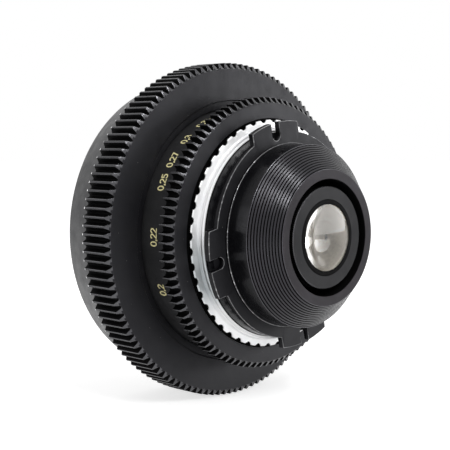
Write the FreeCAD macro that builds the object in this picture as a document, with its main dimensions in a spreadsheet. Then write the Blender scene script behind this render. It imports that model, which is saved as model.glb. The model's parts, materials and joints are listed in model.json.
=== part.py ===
import FreeCAD, Part
import math
import os
import re
import Sketcher
from FreeCAD import Placement, Rotation, Vector

# Cinema prime lens. The optical axis is Y: the front glass looks along -Y and the
# camera side is +Y. The origin is on the axis, in the seat of the mount flange. Z is up.
# Lengths are millimetres and angles are degrees. An angle about the axis is counted
# from +X, right-handed about +Y, so that 90 degrees points down (-Z).

SIZES = {
    # fits and clearances
    "running_gap": 0.06,
    "slide_gap": 0.1,
    "thrust_gap": 0.1,
    "loose_gap": 0.3,
    "glass_gap": 0.05,
    "cut_margin": 1.0,
    # optical barrel, which slides, and the radii that grow outwards from its bore
    "slide_bore": 24.5,
    "slide_wall": 4.2,
    "slide_step": 3.5,
    "slide_web_width": 3.1,
    "rest_gap": 0.9,
    # mount flange with its four slotted lugs and its register barrel
    "register_inset": 0.5,
    "register_wall": 3.0,
    "register_height": 7.5,
    "step_width": 0.5,
    "step_height": 0.7,
    "seat_width": 3.4,
    "flange_depth": 4.6,
    "flange_edge": 0.25,
    "lug_height": 3.1,
    "lug_depth": 1.9,
    "lug_count": 4,
    "lug_width": 19.7,
    "lug_turn": 12.0,
    "lug_slot_width": 3.4,
    "lug_slot_depth": 5.35,
    # ribbed rear cone
    "cone_height": 7.3,
    "cone_taper": 7.1,
    "cone_lip": 2.8,
    "cone_wall": 1.5,
    "cone_ribs": 12,
    "cone_rib_depth": 0.2,
    "cone_spigot_length": 5.0,
    "cone_spigot_wall": 2.5,
    # fixed barrel, its shim, key and stop
    "shim_thickness": 0.4,
    "shim_margin": 0.5,
    "barrel_wall": 2.3,
    "barrel_lip_depth": 3.0,
    "collar_height": 1.0,
    "collar_width": 1.7,
    "key_width": 4.0,
    "key_length": 5.0,
    "key_depth": 1.4,
    "key_setback": 0.8,
    "key_angle": 30.0,
    "stop_radius": 1.0,
    "stop_setback": 4.5,
    "stop_height": 0.7,
    "stop_angle": 150.0,
    # focus ring: gear, number band, skirt, silver grip and helicoid nut
    "gear_module": 0.8,
    "tooth_depth": 1.8,
    "tooth_land": 0.55,
    "focus_gear_rise": 1.6,
    "focus_gap_floor": 0.9,
    "focus_gear_width": 4.92,
    "focus_gear_chamfer": 1.8,
    "focus_gear_edge": 0.15,
    "focus_land_length": 10.85,
    "skirt_wall": 2.8,
    "nut_height": 4.0,
    "nut_length": 11.5,
    "focus_throw": 142.0,
    "grip_wall": 3.29,
    "grip_gap": 0.25,
    "grip_width": 3.3,
    "grip_rim_width": 0.95,
    "grip_rim_edge": 0.3,
    "grip_notches": 49,
    "grip_notch_radius": 1.25,
    "grip_notch_depth": 0.85,
    "grip_face_width": 2.2,
    "grip_face_drop": 0.5,
    "grip_groove": 0.2,
    "face_groove_reach": 0.45,
    "face_groove_depth": 0.35,
    # front housing, which carries the aperture ring
    "index_offset": 4.8,
    "index_width": 2.3,
    "shoulder_depth": 6.2,
    "shoulder_height": 1.4,
    "housing_room": 4.5,
    "housing_wall": 3.0,
    "front_wall": 4.0,
    "web_width": 2.0,
    "front_tube_length": 7.6,
    # aperture ring: gear and smooth tapered band
    "aperture_gear_wall": 9.8,
    "aperture_gap_floor": 0.62,
    "ring_recess": 0.8,
    "ring_gear_width": 11.3,
    "ring_gear_chamfer": 1.1,
    "ring_gear_runout": 0.6,
    "ring_gear_step": 0.2,
    "ring_front_wall": 4.0,
    "ring_front_reach": 3.1,
    "ring_edge": 0.35,
    "aperture_throw": 50.0,
    "drive_pin_radius": 1.0,
    "drive_pin_setback": 1.8,
    "drive_pin_depth": 6.5,
    "drive_pin_angle": 200.0,
    # front trim ring with the filter seat
    "trim_setback": 0.5,
    "trim_lap": 1.5,
    "trim_wall": 3.0,
    "trim_edge": 0.6,
    "filter_step": 0.5,
    # front cell and front glass
    "cell_wall": 2.0,
    "cell_ledge": 4.5,
    "front_lock_width": 2.0,
    "front_lock_lip": 1.4,
    "front_lock_height": 2.9,
    "front_glass_setback": 3.3,
    "front_glass_centre": 2.6,
    "front_glass_bend": 120.0,
    "front_glass_hollow": 90.0,
    "front_glass_rim": 5.0,
    # inner cell and second glass
    "inner_cell_wall": 2.7,
    "inner_cell_lip": 2.8,
    "inner_cell_lip_width": 0.6,
    "second_glass_setback": 2.0,
    "second_glass_thickness": 7.0,
    "second_glass_bend": 150.0,
    "second_glass_hollow": 35.0,
    "second_glass_rim": 2.0,
    "inner_ledge_width": 1.5,
    "second_lock_width": 1.4,
    "second_lock_height": 2.6,
    # iris: base, rotor, eight blades and back plate
    "blade_count": 8,
    "blade_circle": 13.4,
    "blade_width": 6.4,
    "blade_sweep": 68.0,
    "blade_thickness": 0.12,
    "blade_tilt": 4.6,
    "blade_lift": 0.8,
    "blade_room": 2.6,
    "blade_turn": 31.0,
    "blade_tip_radius": 2.4,
    "blade_root_radius": 1.6,
    "tail_length": 6.5,
    "tail_angle": 65.0,
    "tail_radius": 1.2,
    "iris_pin_radius": 0.5,
    "iris_pin_depth": 0.8,
    "iris_hub_inside": 2.8,
    "iris_hub_outside": 1.8,
    "iris_hub_height": 1.4,
    "iris_disc_width": 0.6,
    "rotor_thickness": 1.0,
    "rotor_wall": 1.4,
    "rotor_end_gap": 0.2,
    "iris_plate_width": 1.2,
    # rear cell and its glasses
    "tail_clearance": 2.4,
    "tail_front_wall": 2.2,
    "tail_rear_wall": 3.75,
    "tail_front_gap": 1.3,
    "tail_rear_sink": 2.2,
    "tail_flange_width": 1.5,
    "tail_flange_inset": 1.0,
    "thread_ridges": 9,
    "thread_ridge_depth": 0.25,
    "thread_ridge_length": 4.6,
    "ledge_depth": 2.0,
    "ledge_width": 1.0,
    "ledge_lip": 1.1,
    "crown_thickness": 4.6,
    "crown_bend": 35.0,
    "flint_thickness": 7.6,
    "flint_hollow": 40.0,
    "doublet_rim": 1.55,
    "doublet_lock_height": 2.4,
    "middle_glass_thickness": 4.4,
    "middle_glass_hollow": 45.0,
    "middle_glass_rim": 1.5,
    "middle_glass_bend": 38.0,
    "rear_glass_thickness": 6.75,
    "rear_glass_overhang": 1.15,
    "rear_glass_bend": 40.0,
    "rear_glass_front_bend": 60.0,
    "rear_lock_rim": 0.2,
    "rear_lock_lip": 1.26,
    "rear_lock_height": 1.6,
    "rear_lock_chamfer": 1.28,
    "rear_lock_edge": 0.15,
    "rear_lock_gap": 0.1,
    "rear_lock_groove": 0.1,
    # screws
    "screw_count": 4,
    "housing_screw_count": 3,
    "screw_radius": 0.8,
    "screw_head_radius": 1.6,
    "screw_head_height": 1.1,
    "screw_socket": 0.8,
    "screw_socket_depth": 0.7,
    "screw_bite": 2.4,
    "ring_screw_inset": 1.7,
    "ring_screw_angle": 20.0,
    "ring_screw_radius": 0.6,
    "ring_screw_head_radius": 1.05,
    "ring_screw_seat_depth": 2.2,
    "ring_screw_bite": 1.1,
    "set_screw_radius": 1.0,
    "set_screw_sink": 0.8,
    "set_screw_angle": 0.0,
}

# Radii, tooth counts and places along the axis that follow from the sizes above.
PLACES = {
    # radii from the sliding barrel outwards
    "slide_radius": "slide_bore + slide_wall",
    "slide_waist": "slide_bore - slide_step",
    "barrel_bore": "slide_radius + slide_gap",
    "barrel_lip_bore": "slide_bore - 2 * slide_gap",
    "barrel_radius": "slide_radius + barrel_wall",
    "collar_radius": "barrel_radius + collar_height",
    "land_bore": "barrel_radius + running_gap",
    "grip_radius": "land_bore + grip_wall",
    "nut_bore": "slide_radius + running_gap",
    "nut_radius": "barrel_radius + nut_height",
    "band_radius": "nut_radius + skirt_wall",
    "focus_teeth": "round((band_radius + focus_gear_rise + tooth_depth) * 2 / gear_module) - 2",
    "focus_tip_radius": "gear_module * (focus_teeth + 2) / 2",
    "focus_root_radius": "focus_tip_radius - tooth_depth",
    "gear_pitch": "gear_module * pi",
    "housing_bore": "band_radius + loose_gap",
    "index_radius": "housing_bore + index_width",
    "housing_radius": "index_radius - shoulder_height",
    "aperture_teeth": "round((index_radius + aperture_gear_wall + tooth_depth) * 2 / gear_module) - 2",
    "aperture_tip_radius": "gear_module * (aperture_teeth + 2) / 2",
    "aperture_root_radius": "aperture_tip_radius - tooth_depth",
    "trim_radius": "housing_radius + trim_wall",
    "filter_radius": "housing_radius - filter_step",
    "ring_front_radius": "trim_radius + ring_front_wall",
    "cell_radius": "housing_radius - front_wall",
    "cell_mouth_radius": "cell_radius - cell_wall",
    "front_glass_radius": "cell_mouth_radius - front_lock_width",
    "cell_ledge_radius": "front_glass_radius - cell_ledge",
    "front_glass_clear": "front_glass_radius - front_glass_rim",
    "front_lock_bore": "front_glass_radius - front_lock_lip",
    # radii of the mount
    "screw_circle": "slide_bore + slide_wall / 2",
    "register_bore": "slide_bore - register_inset",
    "register_radius": "register_bore + register_wall",
    "step_radius": "register_radius + step_width",
    "flange_radius": "step_radius + seat_width",
    "lug_radius": "flange_radius + lug_height",
    "lug_slot_centre": "lug_radius - lug_slot_depth + lug_slot_width / 2",
    "cone_rear_radius": "register_radius - cone_taper",
    "cone_bore": "cone_rear_radius - cone_lip",
    "cone_spigot_bore": "register_bore - cone_spigot_wall",
    # radii inside the sliding barrel
    "rotor_radius": "slide_bore - slide_gap",
    "rotor_bore": "rotor_radius - rotor_wall",
    "inner_cell_radius": "rotor_bore - loose_gap",
    "inner_cell_flange": "inner_cell_radius + inner_cell_lip",
    "second_glass_radius": "inner_cell_radius - inner_cell_wall",
    "second_glass_clear": "second_glass_radius - second_glass_rim",
    "second_lock_bore": "second_glass_radius - second_lock_width",
    "iris_mouth": "blade_circle - iris_hub_inside",
    "iris_hub_radius": "blade_circle + iris_hub_outside",
    "rotor_eye": "iris_hub_radius + loose_gap",
    "tail_cell_radius": "cone_bore - tail_clearance",
    "tail_flange_radius": "slide_waist - tail_flange_inset",
    "cell_screw_circle": "(tail_cell_radius + tail_flange_radius) / 2",
    "doublet_radius": "tail_cell_radius - tail_front_wall - glass_gap",
    "flint_clear": "doublet_radius - doublet_rim",
    "rear_glass_radius": "tail_cell_radius - tail_rear_wall - glass_gap",
    "rear_bore": "rear_glass_radius + glass_gap",
    "ledge_bore": "rear_glass_radius - ledge_lip",
    "middle_glass_clear": "rear_glass_radius - middle_glass_rim",
    "rear_lock_radius": "tail_cell_radius + rear_lock_rim",
    "rear_lock_bore": "rear_glass_radius - rear_lock_lip",
    "ring_screw_circle": "grip_radius - ring_screw_inset",
    # places of the mount and the focus ring, from the flange seat forwards
    "cone_rear_y": "register_height + cone_height",
    "cone_spigot_y": "register_height - cone_spigot_length",
    "cone_wall_y": "register_height - cone_wall",
    "flange_front_y": "0 - flange_depth",
    "barrel_rear_y": "flange_front_y - shim_thickness",
    "barrel_lip_y": "barrel_rear_y - barrel_lip_depth",
    "barrel_screw_seat_y": "barrel_lip_y + screw_head_height",
    "grip_rear_y": "flange_front_y - grip_gap",
    "focus_rear_y": "grip_rear_y - grip_width",
    "grip_rim_y": "focus_rear_y + grip_rim_width",
    "grip_face_y": "grip_rear_y - grip_face_drop",
    "grip_face_radius": "grip_radius - grip_face_width",
    "collar_rear_y": "focus_rear_y - thrust_gap",
    "collar_front_y": "collar_rear_y - collar_width",
    "land_rear_y": "collar_front_y - thrust_gap",
    "focus_gear_front_y": "focus_rear_y - focus_gear_width",
    "nut_rear_y": "focus_rear_y - focus_land_length",
    "barrel_front_y": "nut_rear_y + loose_gap",
    "skirt_front_y": "nut_rear_y - nut_length",
    "key_front_y": "barrel_front_y + key_setback",
    "key_rear_y": "key_front_y + key_length",
    "key_floor": "slide_radius - key_depth",
    "stop_y": "nut_rear_y + stop_setback",
    "ring_screw_seat_y": "land_rear_y - ring_screw_seat_depth",
    "set_screw_y": "skirt_front_y + nut_length / 3",
    # places of the optical block and the aperture ring
    "slide_rear_y": "barrel_lip_y - rest_gap",
    "slide_web_y": "slide_rear_y - slide_web_width",
    "web_rear_y": "skirt_front_y - housing_room",
    "web_front_y": "web_rear_y - web_width",
    "housing_screw_seat_y": "web_front_y + screw_head_height",
    "housing_front_y": "web_front_y - front_tube_length",
    "index_y": "nut_rear_y - index_offset",
    "ring_rear_y": "index_y + ring_recess",
    "ring_front_y": "housing_front_y - ring_front_reach",
    "ring_gear_front_y": "ring_rear_y - ring_gear_width",
    "shoulder_y": "index_y - shoulder_depth",
    "ring_land_rear_y": "shoulder_y - thrust_gap",
    "trim_rear_y": "housing_front_y + trim_lap",
    "ring_land_front_y": "trim_rear_y + thrust_gap",
    "trim_front_y": "ring_front_y + trim_setback",
    "drive_pin_y": "web_rear_y + drive_pin_setback",
    # places of the front and second glass
    "front_glass_y": "ring_front_y + front_glass_setback",
    "front_glass_edge_y": "front_glass_y + front_glass_bend"
    " - sqrt(front_glass_bend^2 - front_glass_radius^2)",
    "front_glass_sink": "front_glass_hollow - sqrt(front_glass_hollow^2 - front_glass_clear^2)",
    "front_glass_rear_y": "front_glass_y + front_glass_centre + front_glass_sink",
    "front_lock_rear_y": "front_glass_edge_y - 2 * slide_gap",
    "front_lock_front_y": "front_glass_edge_y - front_lock_height",
    "front_lock_lip_y": "front_glass_y + front_glass_bend"
    " - sqrt(front_glass_bend^2 - front_lock_bore^2) - 2 * slide_gap",
    "inner_cell_front_y": "web_front_y - inner_cell_lip_width",
    "second_glass_y": "web_front_y + second_glass_setback",
    "second_lock_rear_y": "second_glass_y + second_glass_bend"
    " - sqrt(second_glass_bend^2 - second_lock_bore^2) - slide_gap",
    "second_glass_rear_y": "second_glass_y + second_glass_thickness",
    # places of the iris
    "inner_cell_rear_y": "second_glass_rear_y + inner_ledge_width",
    "iris_hub_front_y": "inner_cell_rear_y + iris_disc_width",
    "iris_y": "iris_hub_front_y + iris_hub_height",
    "rotor_rear_y": "iris_y - thrust_gap",
    "rotor_front_y": "rotor_rear_y - rotor_thickness",
    "rotor_end_y": "web_rear_y + rotor_end_gap",
    "iris_plate_y": "iris_y + blade_room",
    "iris_shoulder_y": "iris_plate_y + iris_plate_width",
    # places of the rear cell and its glasses
    "tail_cell_front_y": "iris_shoulder_y + tail_front_gap",
    "tail_cell_rear_y": "cone_rear_y - tail_rear_sink",
    "tail_flange_rear_y": "slide_rear_y + tail_flange_width",
    "ledge_front_y": "0 - ledge_depth",
    "ledge_rear_y": "ledge_front_y + ledge_width",
    "flint_front_y": "ledge_front_y - flint_thickness",
    "crown_front_y": "ledge_front_y - crown_thickness",
    "middle_glass_rear_y": "ledge_rear_y + middle_glass_thickness",
    "rear_lock_y": "tail_cell_rear_y + rear_lock_height",
    "rear_glass_y": "rear_lock_y + rear_glass_overhang",
    "rear_glass_front_y": "rear_glass_y - rear_glass_thickness",
    "rear_glass_edge_y": "rear_glass_y - rear_glass_bend + sqrt(rear_glass_bend^2 - rear_glass_radius^2)",
    "rear_lock_lip_y": "rear_glass_y - rear_glass_bend + sqrt(rear_glass_bend^2 - rear_lock_bore^2)"
    " + rear_lock_gap",
    "spacer_front_y": "middle_glass_rear_y - middle_glass_bend"
    " + sqrt(middle_glass_bend^2 - ledge_bore^2) + glass_gap",
    "spacer_rear_y": "rear_glass_front_y + rear_glass_front_bend"
    " - sqrt(rear_glass_front_bend^2 - ledge_bore^2) - glass_gap",
}

doc = FreeCAD.newDocument("cine_prime_lens")
nodes = []


# Sheets and bindings

def make_sheet(name, cells):
    """A spreadsheet with one row per named value."""
    sheet = doc.addObject("Spreadsheet::Sheet", name)
    for row, (alias, value) in enumerate(cells.items(), start=1):
        sheet.set(f"A{row}", alias)
        sheet.set(f"B{row}", value)
        sheet.setAlias(f"B{row}", alias)
    return sheet


def formula(text, places_sheet="Places."):
    """A formula with the sheet written before each name, ready to bind."""
    def full_name(match):
        word = match.group(0)
        if word in SIZES:
            return "Sizes." + word
        if word in PLACES:
            return places_sheet + word
        return word
    return re.sub(r"[a-z][a-z_0-9]*", full_name, text)


sizes = make_sheet("Sizes", {name: str(value) for name, value in SIZES.items()})
places = make_sheet("Places", {name: "=" + formula(text, "") for name, text in PLACES.items()})
doc.recompute()


def value(name):
    """The number that a named cell holds now."""
    sheet = sizes if name in SIZES else places
    return float(sheet.get(name))


def bind(item, **formulas):
    """Bind properties such as Radius to formulas."""
    for name, text in formulas.items():
        item.setExpression(name, formula(text))


def keep(item, node):
    """Give a finished sub-part the name of its node."""
    item.Label = node
    nodes.append(item)
    return item


# Turned pieces: an outline of (radius, y) corners, revolved about the axis

def origin_part(body, role):
    """One of the planes or axes that a body owns."""
    for feature in body.Origin.OriginFeatures:
        if feature.Role == role:
            return feature
    raise ValueError(role)


def add_sketch(body, name, role):
    sketch = body.newObject("Sketcher::SketchObject", name)
    sketch.AttachmentSupport = [(origin_part(body, role), "")]
    sketch.MapMode = "FlatFace"
    return sketch


def draw_outline(sketch, corners):
    """A closed loop of straight lines, each corner bound to two formulas."""
    count = len(corners)
    rough_radius = 20.0
    middle = Vector(2 * rough_radius, 0, 0)
    seeds = []
    for index in range(count):
        angle = 2 * math.pi * index / count
        seeds.append(middle + Vector(math.cos(angle), math.sin(angle), 0) * rough_radius)
    for index in range(count):
        sketch.addGeometry(Part.LineSegment(seeds[index], seeds[(index + 1) % count]))
    for index in range(count):
        sketch.addConstraint(Sketcher.Constraint("Coincident", index, 2, (index + 1) % count, 1))
    for index, (across, along) in enumerate(corners):
        for kind, text, seed in (("DistanceX", across, seeds[index].x), ("DistanceY", along, seeds[index].y)):
            number = sketch.addConstraint(Sketcher.Constraint(kind, -1, 1, index, 1, seed))
            sketch.setExpression(f"Constraints[{number}]", formula(text))


def turned(name, corners):
    """A body of revolution about the optical axis."""
    body = doc.addObject("PartDesign::Body", name)
    sketch = add_sketch(body, name + "_outline", "XY_Plane")
    draw_outline(sketch, corners)
    turning = body.newObject("PartDesign::Revolution", name + "_turning")
    turning.Profile = sketch
    turning.ReferenceAxis = (sketch, ["V_Axis"])
    turning.Angle = 360
    return body


def pattern_round_axis(body, feature, count):
    """Repeat a cut evenly about the optical axis."""
    pattern = body.newObject("PartDesign::PolarPattern", feature.Name + "_pattern")
    pattern.Originals = [feature]
    pattern.Axis = (origin_part(body, "Y_Axis"), [""])
    pattern.Angle = 360
    bind(pattern, Occurrences=count)
    body.Tip = pattern
    return pattern


def ridges(crest, depth, start, length, count):
    """Corners of count V-shaped grooves along a wall, from start over length."""
    corners = []
    for index in range(int(value(count))):
        near = f"{start} + {length} * {index} / {count}"
        middle = f"{start} + {length} * ({index} + 0.5) / {count}"
        corners.append((crest, near))
        corners.append((f"{crest} - {depth}", middle))
    return corners


# Pieces made of cylinders, boxes and spheres

def along_axis(angle=0.0):
    """Turns a shape's own Z to the optical axis and its X to the angle."""
    return Rotation(Vector(0, 1, 0), angle) * Rotation(Vector(1, 0, 0), -90)


def outward(angle):
    """Turns a shape's own Z to point away from the axis at the angle."""
    radians = math.radians(angle)
    return Rotation(Vector(0, 0, 1), Vector(math.cos(radians), 0, -math.sin(radians)))


def disc(name, radius, front, rear, sweep="360", angle=0.0):
    """A cylinder, or a slice of one, about the optical axis."""
    item = doc.addObject("Part::Cylinder", name)
    bind(item, Radius=radius, Height=f"({rear}) - ({front})", Angle=sweep)
    item.Placement = Placement(Vector(0, 0, 0), along_axis(angle))
    item.setExpression("Placement.Base.y", formula(front))
    return item


def cut(name, base, tools):
    """A base less one or more tools."""
    tool = tools[0]
    if len(tools) > 1:
        tool = doc.addObject("Part::MultiFuse", name + "_tools")
        tool.Shapes = tools
    item = doc.addObject("Part::Cut", name)
    item.Base = base
    item.Tool = tool
    return item


def slice_of_ring(name, inner, outer, front, rear, sweep, angle):
    """A slice of a ring about the optical axis."""
    whole = disc(name + "_outside", outer, front, rear, sweep, angle)
    core = disc(name + "_inside", inner, front, rear)
    return cut(name, whole, [core])


def bind_place(item, x, y, z):
    item.setExpression("Placement.Base.x", formula(x))
    item.setExpression("Placement.Base.y", formula(y))
    item.setExpression("Placement.Base.z", formula(z))


def put_beside_axis(item, circle, y, angle):
    """Stand a shape on the circle at the angle, its own Z along the axis."""
    item.Placement = Placement(Vector(0, 0, 0), along_axis(angle))
    radians = math.radians(angle)
    bind_place(item, f"({circle}) * {math.cos(radians):.9f}", y, f"({circle}) * {-math.sin(radians):.9f}")


def rod(name, radius, circle, front, rear, angle):
    """A cylinder beside the axis and parallel to it."""
    item = doc.addObject("Part::Cylinder", name)
    bind(item, Radius=radius, Height=f"({rear}) - ({front})")
    put_beside_axis(item, circle, front, angle)
    return item


def radial_pin(name, radius, inner, outer, y, angle):
    """A cylinder that points away from the axis."""
    item = doc.addObject("Part::Cylinder", name)
    bind(item, Radius=radius, Height=f"({outer}) - ({inner})")
    item.Placement = Placement(Vector(0, 0, 0), outward(angle))
    radians = math.radians(angle)
    bind_place(item, f"({inner}) * {math.cos(radians):.9f}", y, f"({inner}) * {-math.sin(radians):.9f}")
    return item


def block(name, width, inner, outer, front, rear, angle):
    """A box whose width lies across the radius at the angle."""
    item = doc.addObject("Part::Box", name)
    bind(item, Length=f"({outer}) - ({inner})", Width=width, Height=f"({rear}) - ({front})")
    item.Placement = Placement(Vector(0, 0, 0), along_axis(angle))
    radians = math.radians(angle)
    ahead, across = math.cos(radians), math.sin(radians)
    bind_place(
        item,
        f"({inner}) * {ahead:.9f} + ({width}) / 2 * {across:.9f}",
        front,
        f"({width}) / 2 * {ahead:.9f} - ({inner}) * {across:.9f}")
    return item


def ball(name, radius, y):
    """A sphere with its centre on the optical axis."""
    item = doc.addObject("Part::Sphere", name)
    bind(item, Radius=radius)
    item.setExpression("Placement.Base.y", formula(y))
    return item


def common(name, first, second):
    item = doc.addObject("Part::MultiCommon", name)
    item.Shapes = [first, second]
    return item


def spaced(count, start=0.0):
    """Evenly spaced angles about the axis."""
    number = int(value(count))
    return [start + 360.0 * index / number for index in range(number)]


def cap_screws(node, angles, circle, radius, head_radius, seat, reach, way):
    """Cap screws parallel to the axis, as one group. The heads sit on seat and the shanks
    run for reach from there, to the rear when way is 1 and to the front when it is -1."""
    sides = {
        1: (f"({seat}) - screw_head_height", seat, f"({seat}) + ({reach})"),
        -1: (f"({seat}) + screw_head_height", seat, f"({seat}) - ({reach})"),
    }
    top, under, end = sides[way]
    screws = []
    for index, angle in enumerate(angles):
        name = f"{node}_{index}"
        if way == 1:
            head = rod(name + "_head", head_radius, circle, top, under, angle)
            shank = rod(name + "_shank", radius, circle, under, end, angle)
            floor = top
        else:
            head = rod(name + "_head", head_radius, circle, under, top, angle)
            shank = rod(name + "_shank", radius, circle, end, under, angle)
            floor = f"{top} - screw_socket_depth"
        joined = doc.addObject("Part::Fuse", name + "_whole")
        joined.Base = head
        joined.Tool = shank
        socket = doc.addObject("Part::Prism", name + "_socket")
        socket.Polygon = 6
        bind(socket, Circumradius="screw_socket", Height="screw_socket_depth")
        put_beside_axis(socket, circle, floor, angle)
        screws.append(cut(name, joined, [socket]))
    group = doc.addObject("Part::Compound", node)
    group.Links = screws
    return keep(group, node)


# Mount: flange with lugs, ribbed cone, shim, fixed barrel, key and stop

def make_mount_flange():
    blank = turned("mount_flange_blank", [
        ("register_bore", "flange_front_y"),
        ("flange_radius", "flange_front_y"),
        ("flange_radius", "0 - lug_depth"),
        ("lug_radius - flange_edge", "0 - lug_depth"),
        ("lug_radius", "flange_edge - lug_depth"),
        ("lug_radius", "0 - flange_edge"),
        ("lug_radius - flange_edge", "0"),
        ("step_radius", "0"),
        ("step_radius", "step_height - flange_edge / 2"),
        ("step_radius - flange_edge / 2", "step_height"),
        ("register_radius", "step_height"),
        ("register_radius", "register_height"),
        ("register_bore", "register_height"),
    ])
    gap_blank = turned("lug_gap_blank", [
        ("flange_radius", "0 - lug_depth - cut_margin"),
        ("lug_radius + cut_margin", "0 - lug_depth - cut_margin"),
        ("lug_radius + cut_margin", "cut_margin"),
        ("flange_radius", "cut_margin"),
    ])
    lugs = []
    for index, angle in enumerate(spaced("lug_count", value("lug_turn"))):
        lugs.append(block(
            f"lug_{index}", "lug_width", "flange_radius / 2", "lug_radius + 2 * cut_margin",
            "0 - lug_depth - 2 * cut_margin", "2 * cut_margin", angle))
    tools = [cut("lug_gaps", gap_blank, lugs)]
    for index, angle in enumerate(spaced("lug_count", value("lug_turn"))):
        tools.append(block(
            f"lug_slot_{index}", "lug_slot_width", "lug_slot_centre", "lug_radius + cut_margin",
            "0 - lug_depth", "step_height", angle))
        tools.append(rod(
            f"lug_slot_floor_{index}", "lug_slot_width / 2", "lug_slot_centre",
            "0 - lug_depth", "step_height", angle))
    for index, angle in enumerate(spaced("screw_count")):
        tools.append(rod(
            f"flange_screw_hole_{index}", "screw_radius", "screw_circle",
            "flange_front_y", "flange_front_y + screw_bite", angle))
    return keep(cut("mount_flange_part", blank, tools), "mount_flange")


def make_rear_cone():
    slope = "(register_radius - cone_rear_radius) / cone_ribs"
    rise = "cone_height / cone_ribs"
    corners = [
        ("cone_spigot_bore", "cone_spigot_y"),
        ("register_bore", "cone_spigot_y"),
        ("register_bore", "register_height"),
        ("register_radius", "register_height"),
    ]
    for index in range(1, int(value("cone_ribs")) + 1):
        corners.append((
            f"register_radius - {slope} * ({index} - 0.5) - cone_rib_depth",
            f"register_height + {rise} * ({index} - 0.5)"))
        corners.append((
            f"register_radius - {slope} * {index}",
            f"register_height + {rise} * {index}"))
    corners += [
        ("cone_bore", "cone_rear_y"),
        ("cone_bore", "cone_wall_y"),
        ("cone_spigot_bore", "cone_wall_y"),
    ]
    return keep(turned("rear_cone_part", corners), "rear_cone")


def make_mount_shim():
    blank = turned("mount_shim_blank", [
        ("barrel_lip_bore", "barrel_rear_y"),
        ("barrel_radius - shim_margin", "barrel_rear_y"),
        ("barrel_radius - shim_margin", "flange_front_y"),
        ("barrel_lip_bore", "flange_front_y"),
    ])
    holes = []
    for index, angle in enumerate(spaced("screw_count")):
        holes.append(rod(
            f"shim_hole_{index}", "screw_radius", "screw_circle", "barrel_rear_y", "flange_front_y", angle))
    return keep(cut("mount_shim_part", blank, holes), "mount_shim")


def make_fixed_barrel():
    blank = turned("fixed_barrel_blank", [
        ("barrel_lip_bore", "barrel_lip_y"),
        ("barrel_bore", "barrel_lip_y"),
        ("barrel_bore", "barrel_front_y"),
        ("barrel_radius", "barrel_front_y"),
        ("barrel_radius", "collar_front_y"),
        ("collar_radius", "collar_front_y"),
        ("collar_radius", "collar_rear_y"),
        ("barrel_radius", "collar_rear_y"),
        ("barrel_radius", "barrel_rear_y"),
        ("barrel_lip_bore", "barrel_rear_y"),
    ])
    tools = [
        block(
            "key_window", "key_width", "key_floor", "collar_radius", "key_front_y", "key_rear_y",
            value("key_angle")),
        radial_pin(
            "stop_hole", "stop_radius", "key_floor", "collar_radius", "stop_y", value("stop_angle")),
    ]
    for index, angle in enumerate(spaced("screw_count")):
        tools.append(rod(
            f"barrel_hole_{index}", "screw_radius", "screw_circle",
            "barrel_screw_seat_y", "barrel_rear_y", angle))
        tools.append(rod(
            f"barrel_head_hole_{index}", "screw_head_radius", "screw_circle",
            "barrel_lip_y", "barrel_screw_seat_y", angle))
    return keep(cut("fixed_barrel_part", blank, tools), "fixed_barrel")


def make_mount():
    make_mount_flange()
    make_rear_cone()
    make_mount_shim()
    make_fixed_barrel()
    cap_screws(
        "barrel_screws", spaced("screw_count"), "screw_circle", "screw_radius", "screw_head_radius",
        "barrel_screw_seat_y", "flange_front_y + screw_bite - barrel_screw_seat_y", 1)
    key = block(
        "guide_key_part", "key_width", "key_floor + slide_gap", "barrel_radius - 2 * slide_gap",
        "key_front_y", "key_rear_y", value("key_angle"))
    keep(key, "guide_key")
    stop = radial_pin(
        "focus_stop_pin_part", "stop_radius", "barrel_bore + slide_gap", "barrel_radius + stop_height",
        "stop_y", value("stop_angle"))
    keep(stop, "focus_stop_pin")


# Focus ring: toothed ring with the number band, silver grip, helicoid nut and screws

def cut_teeth(body, name, tip, root, floor, count):
    """Cut straight tooth gaps with eased root corners, and repeat them."""
    sketch = add_sketch(body, name + "_gap", "XZ_Plane")
    over = "(1 + cut_margin / tooth_depth / 3)"
    mouth = f"({floor} / 2 + ((gear_pitch - tooth_land) / 2 - {floor} / 2) * {over})"
    draw_outline(sketch, [
        (f"{floor} / 4", root),
        (f"{floor} / 2", f"{root} + {floor} / 6"),
        (mouth, f"{root} + ({tip} - {root}) * {over}"),
        (f"0 - {mouth}", f"{root} + ({tip} - {root}) * {over}"),
        (f"0 - {floor} / 2", f"{root} + {floor} / 6"),
        (f"0 - {floor} / 4", root),
    ])
    pocket = body.newObject("PartDesign::Pocket", name + "_pocket")
    pocket.Profile = sketch
    pocket.Midplane = True
    pocket.Type = "ThroughAll"
    return pattern_round_axis(body, pocket, count)


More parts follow.
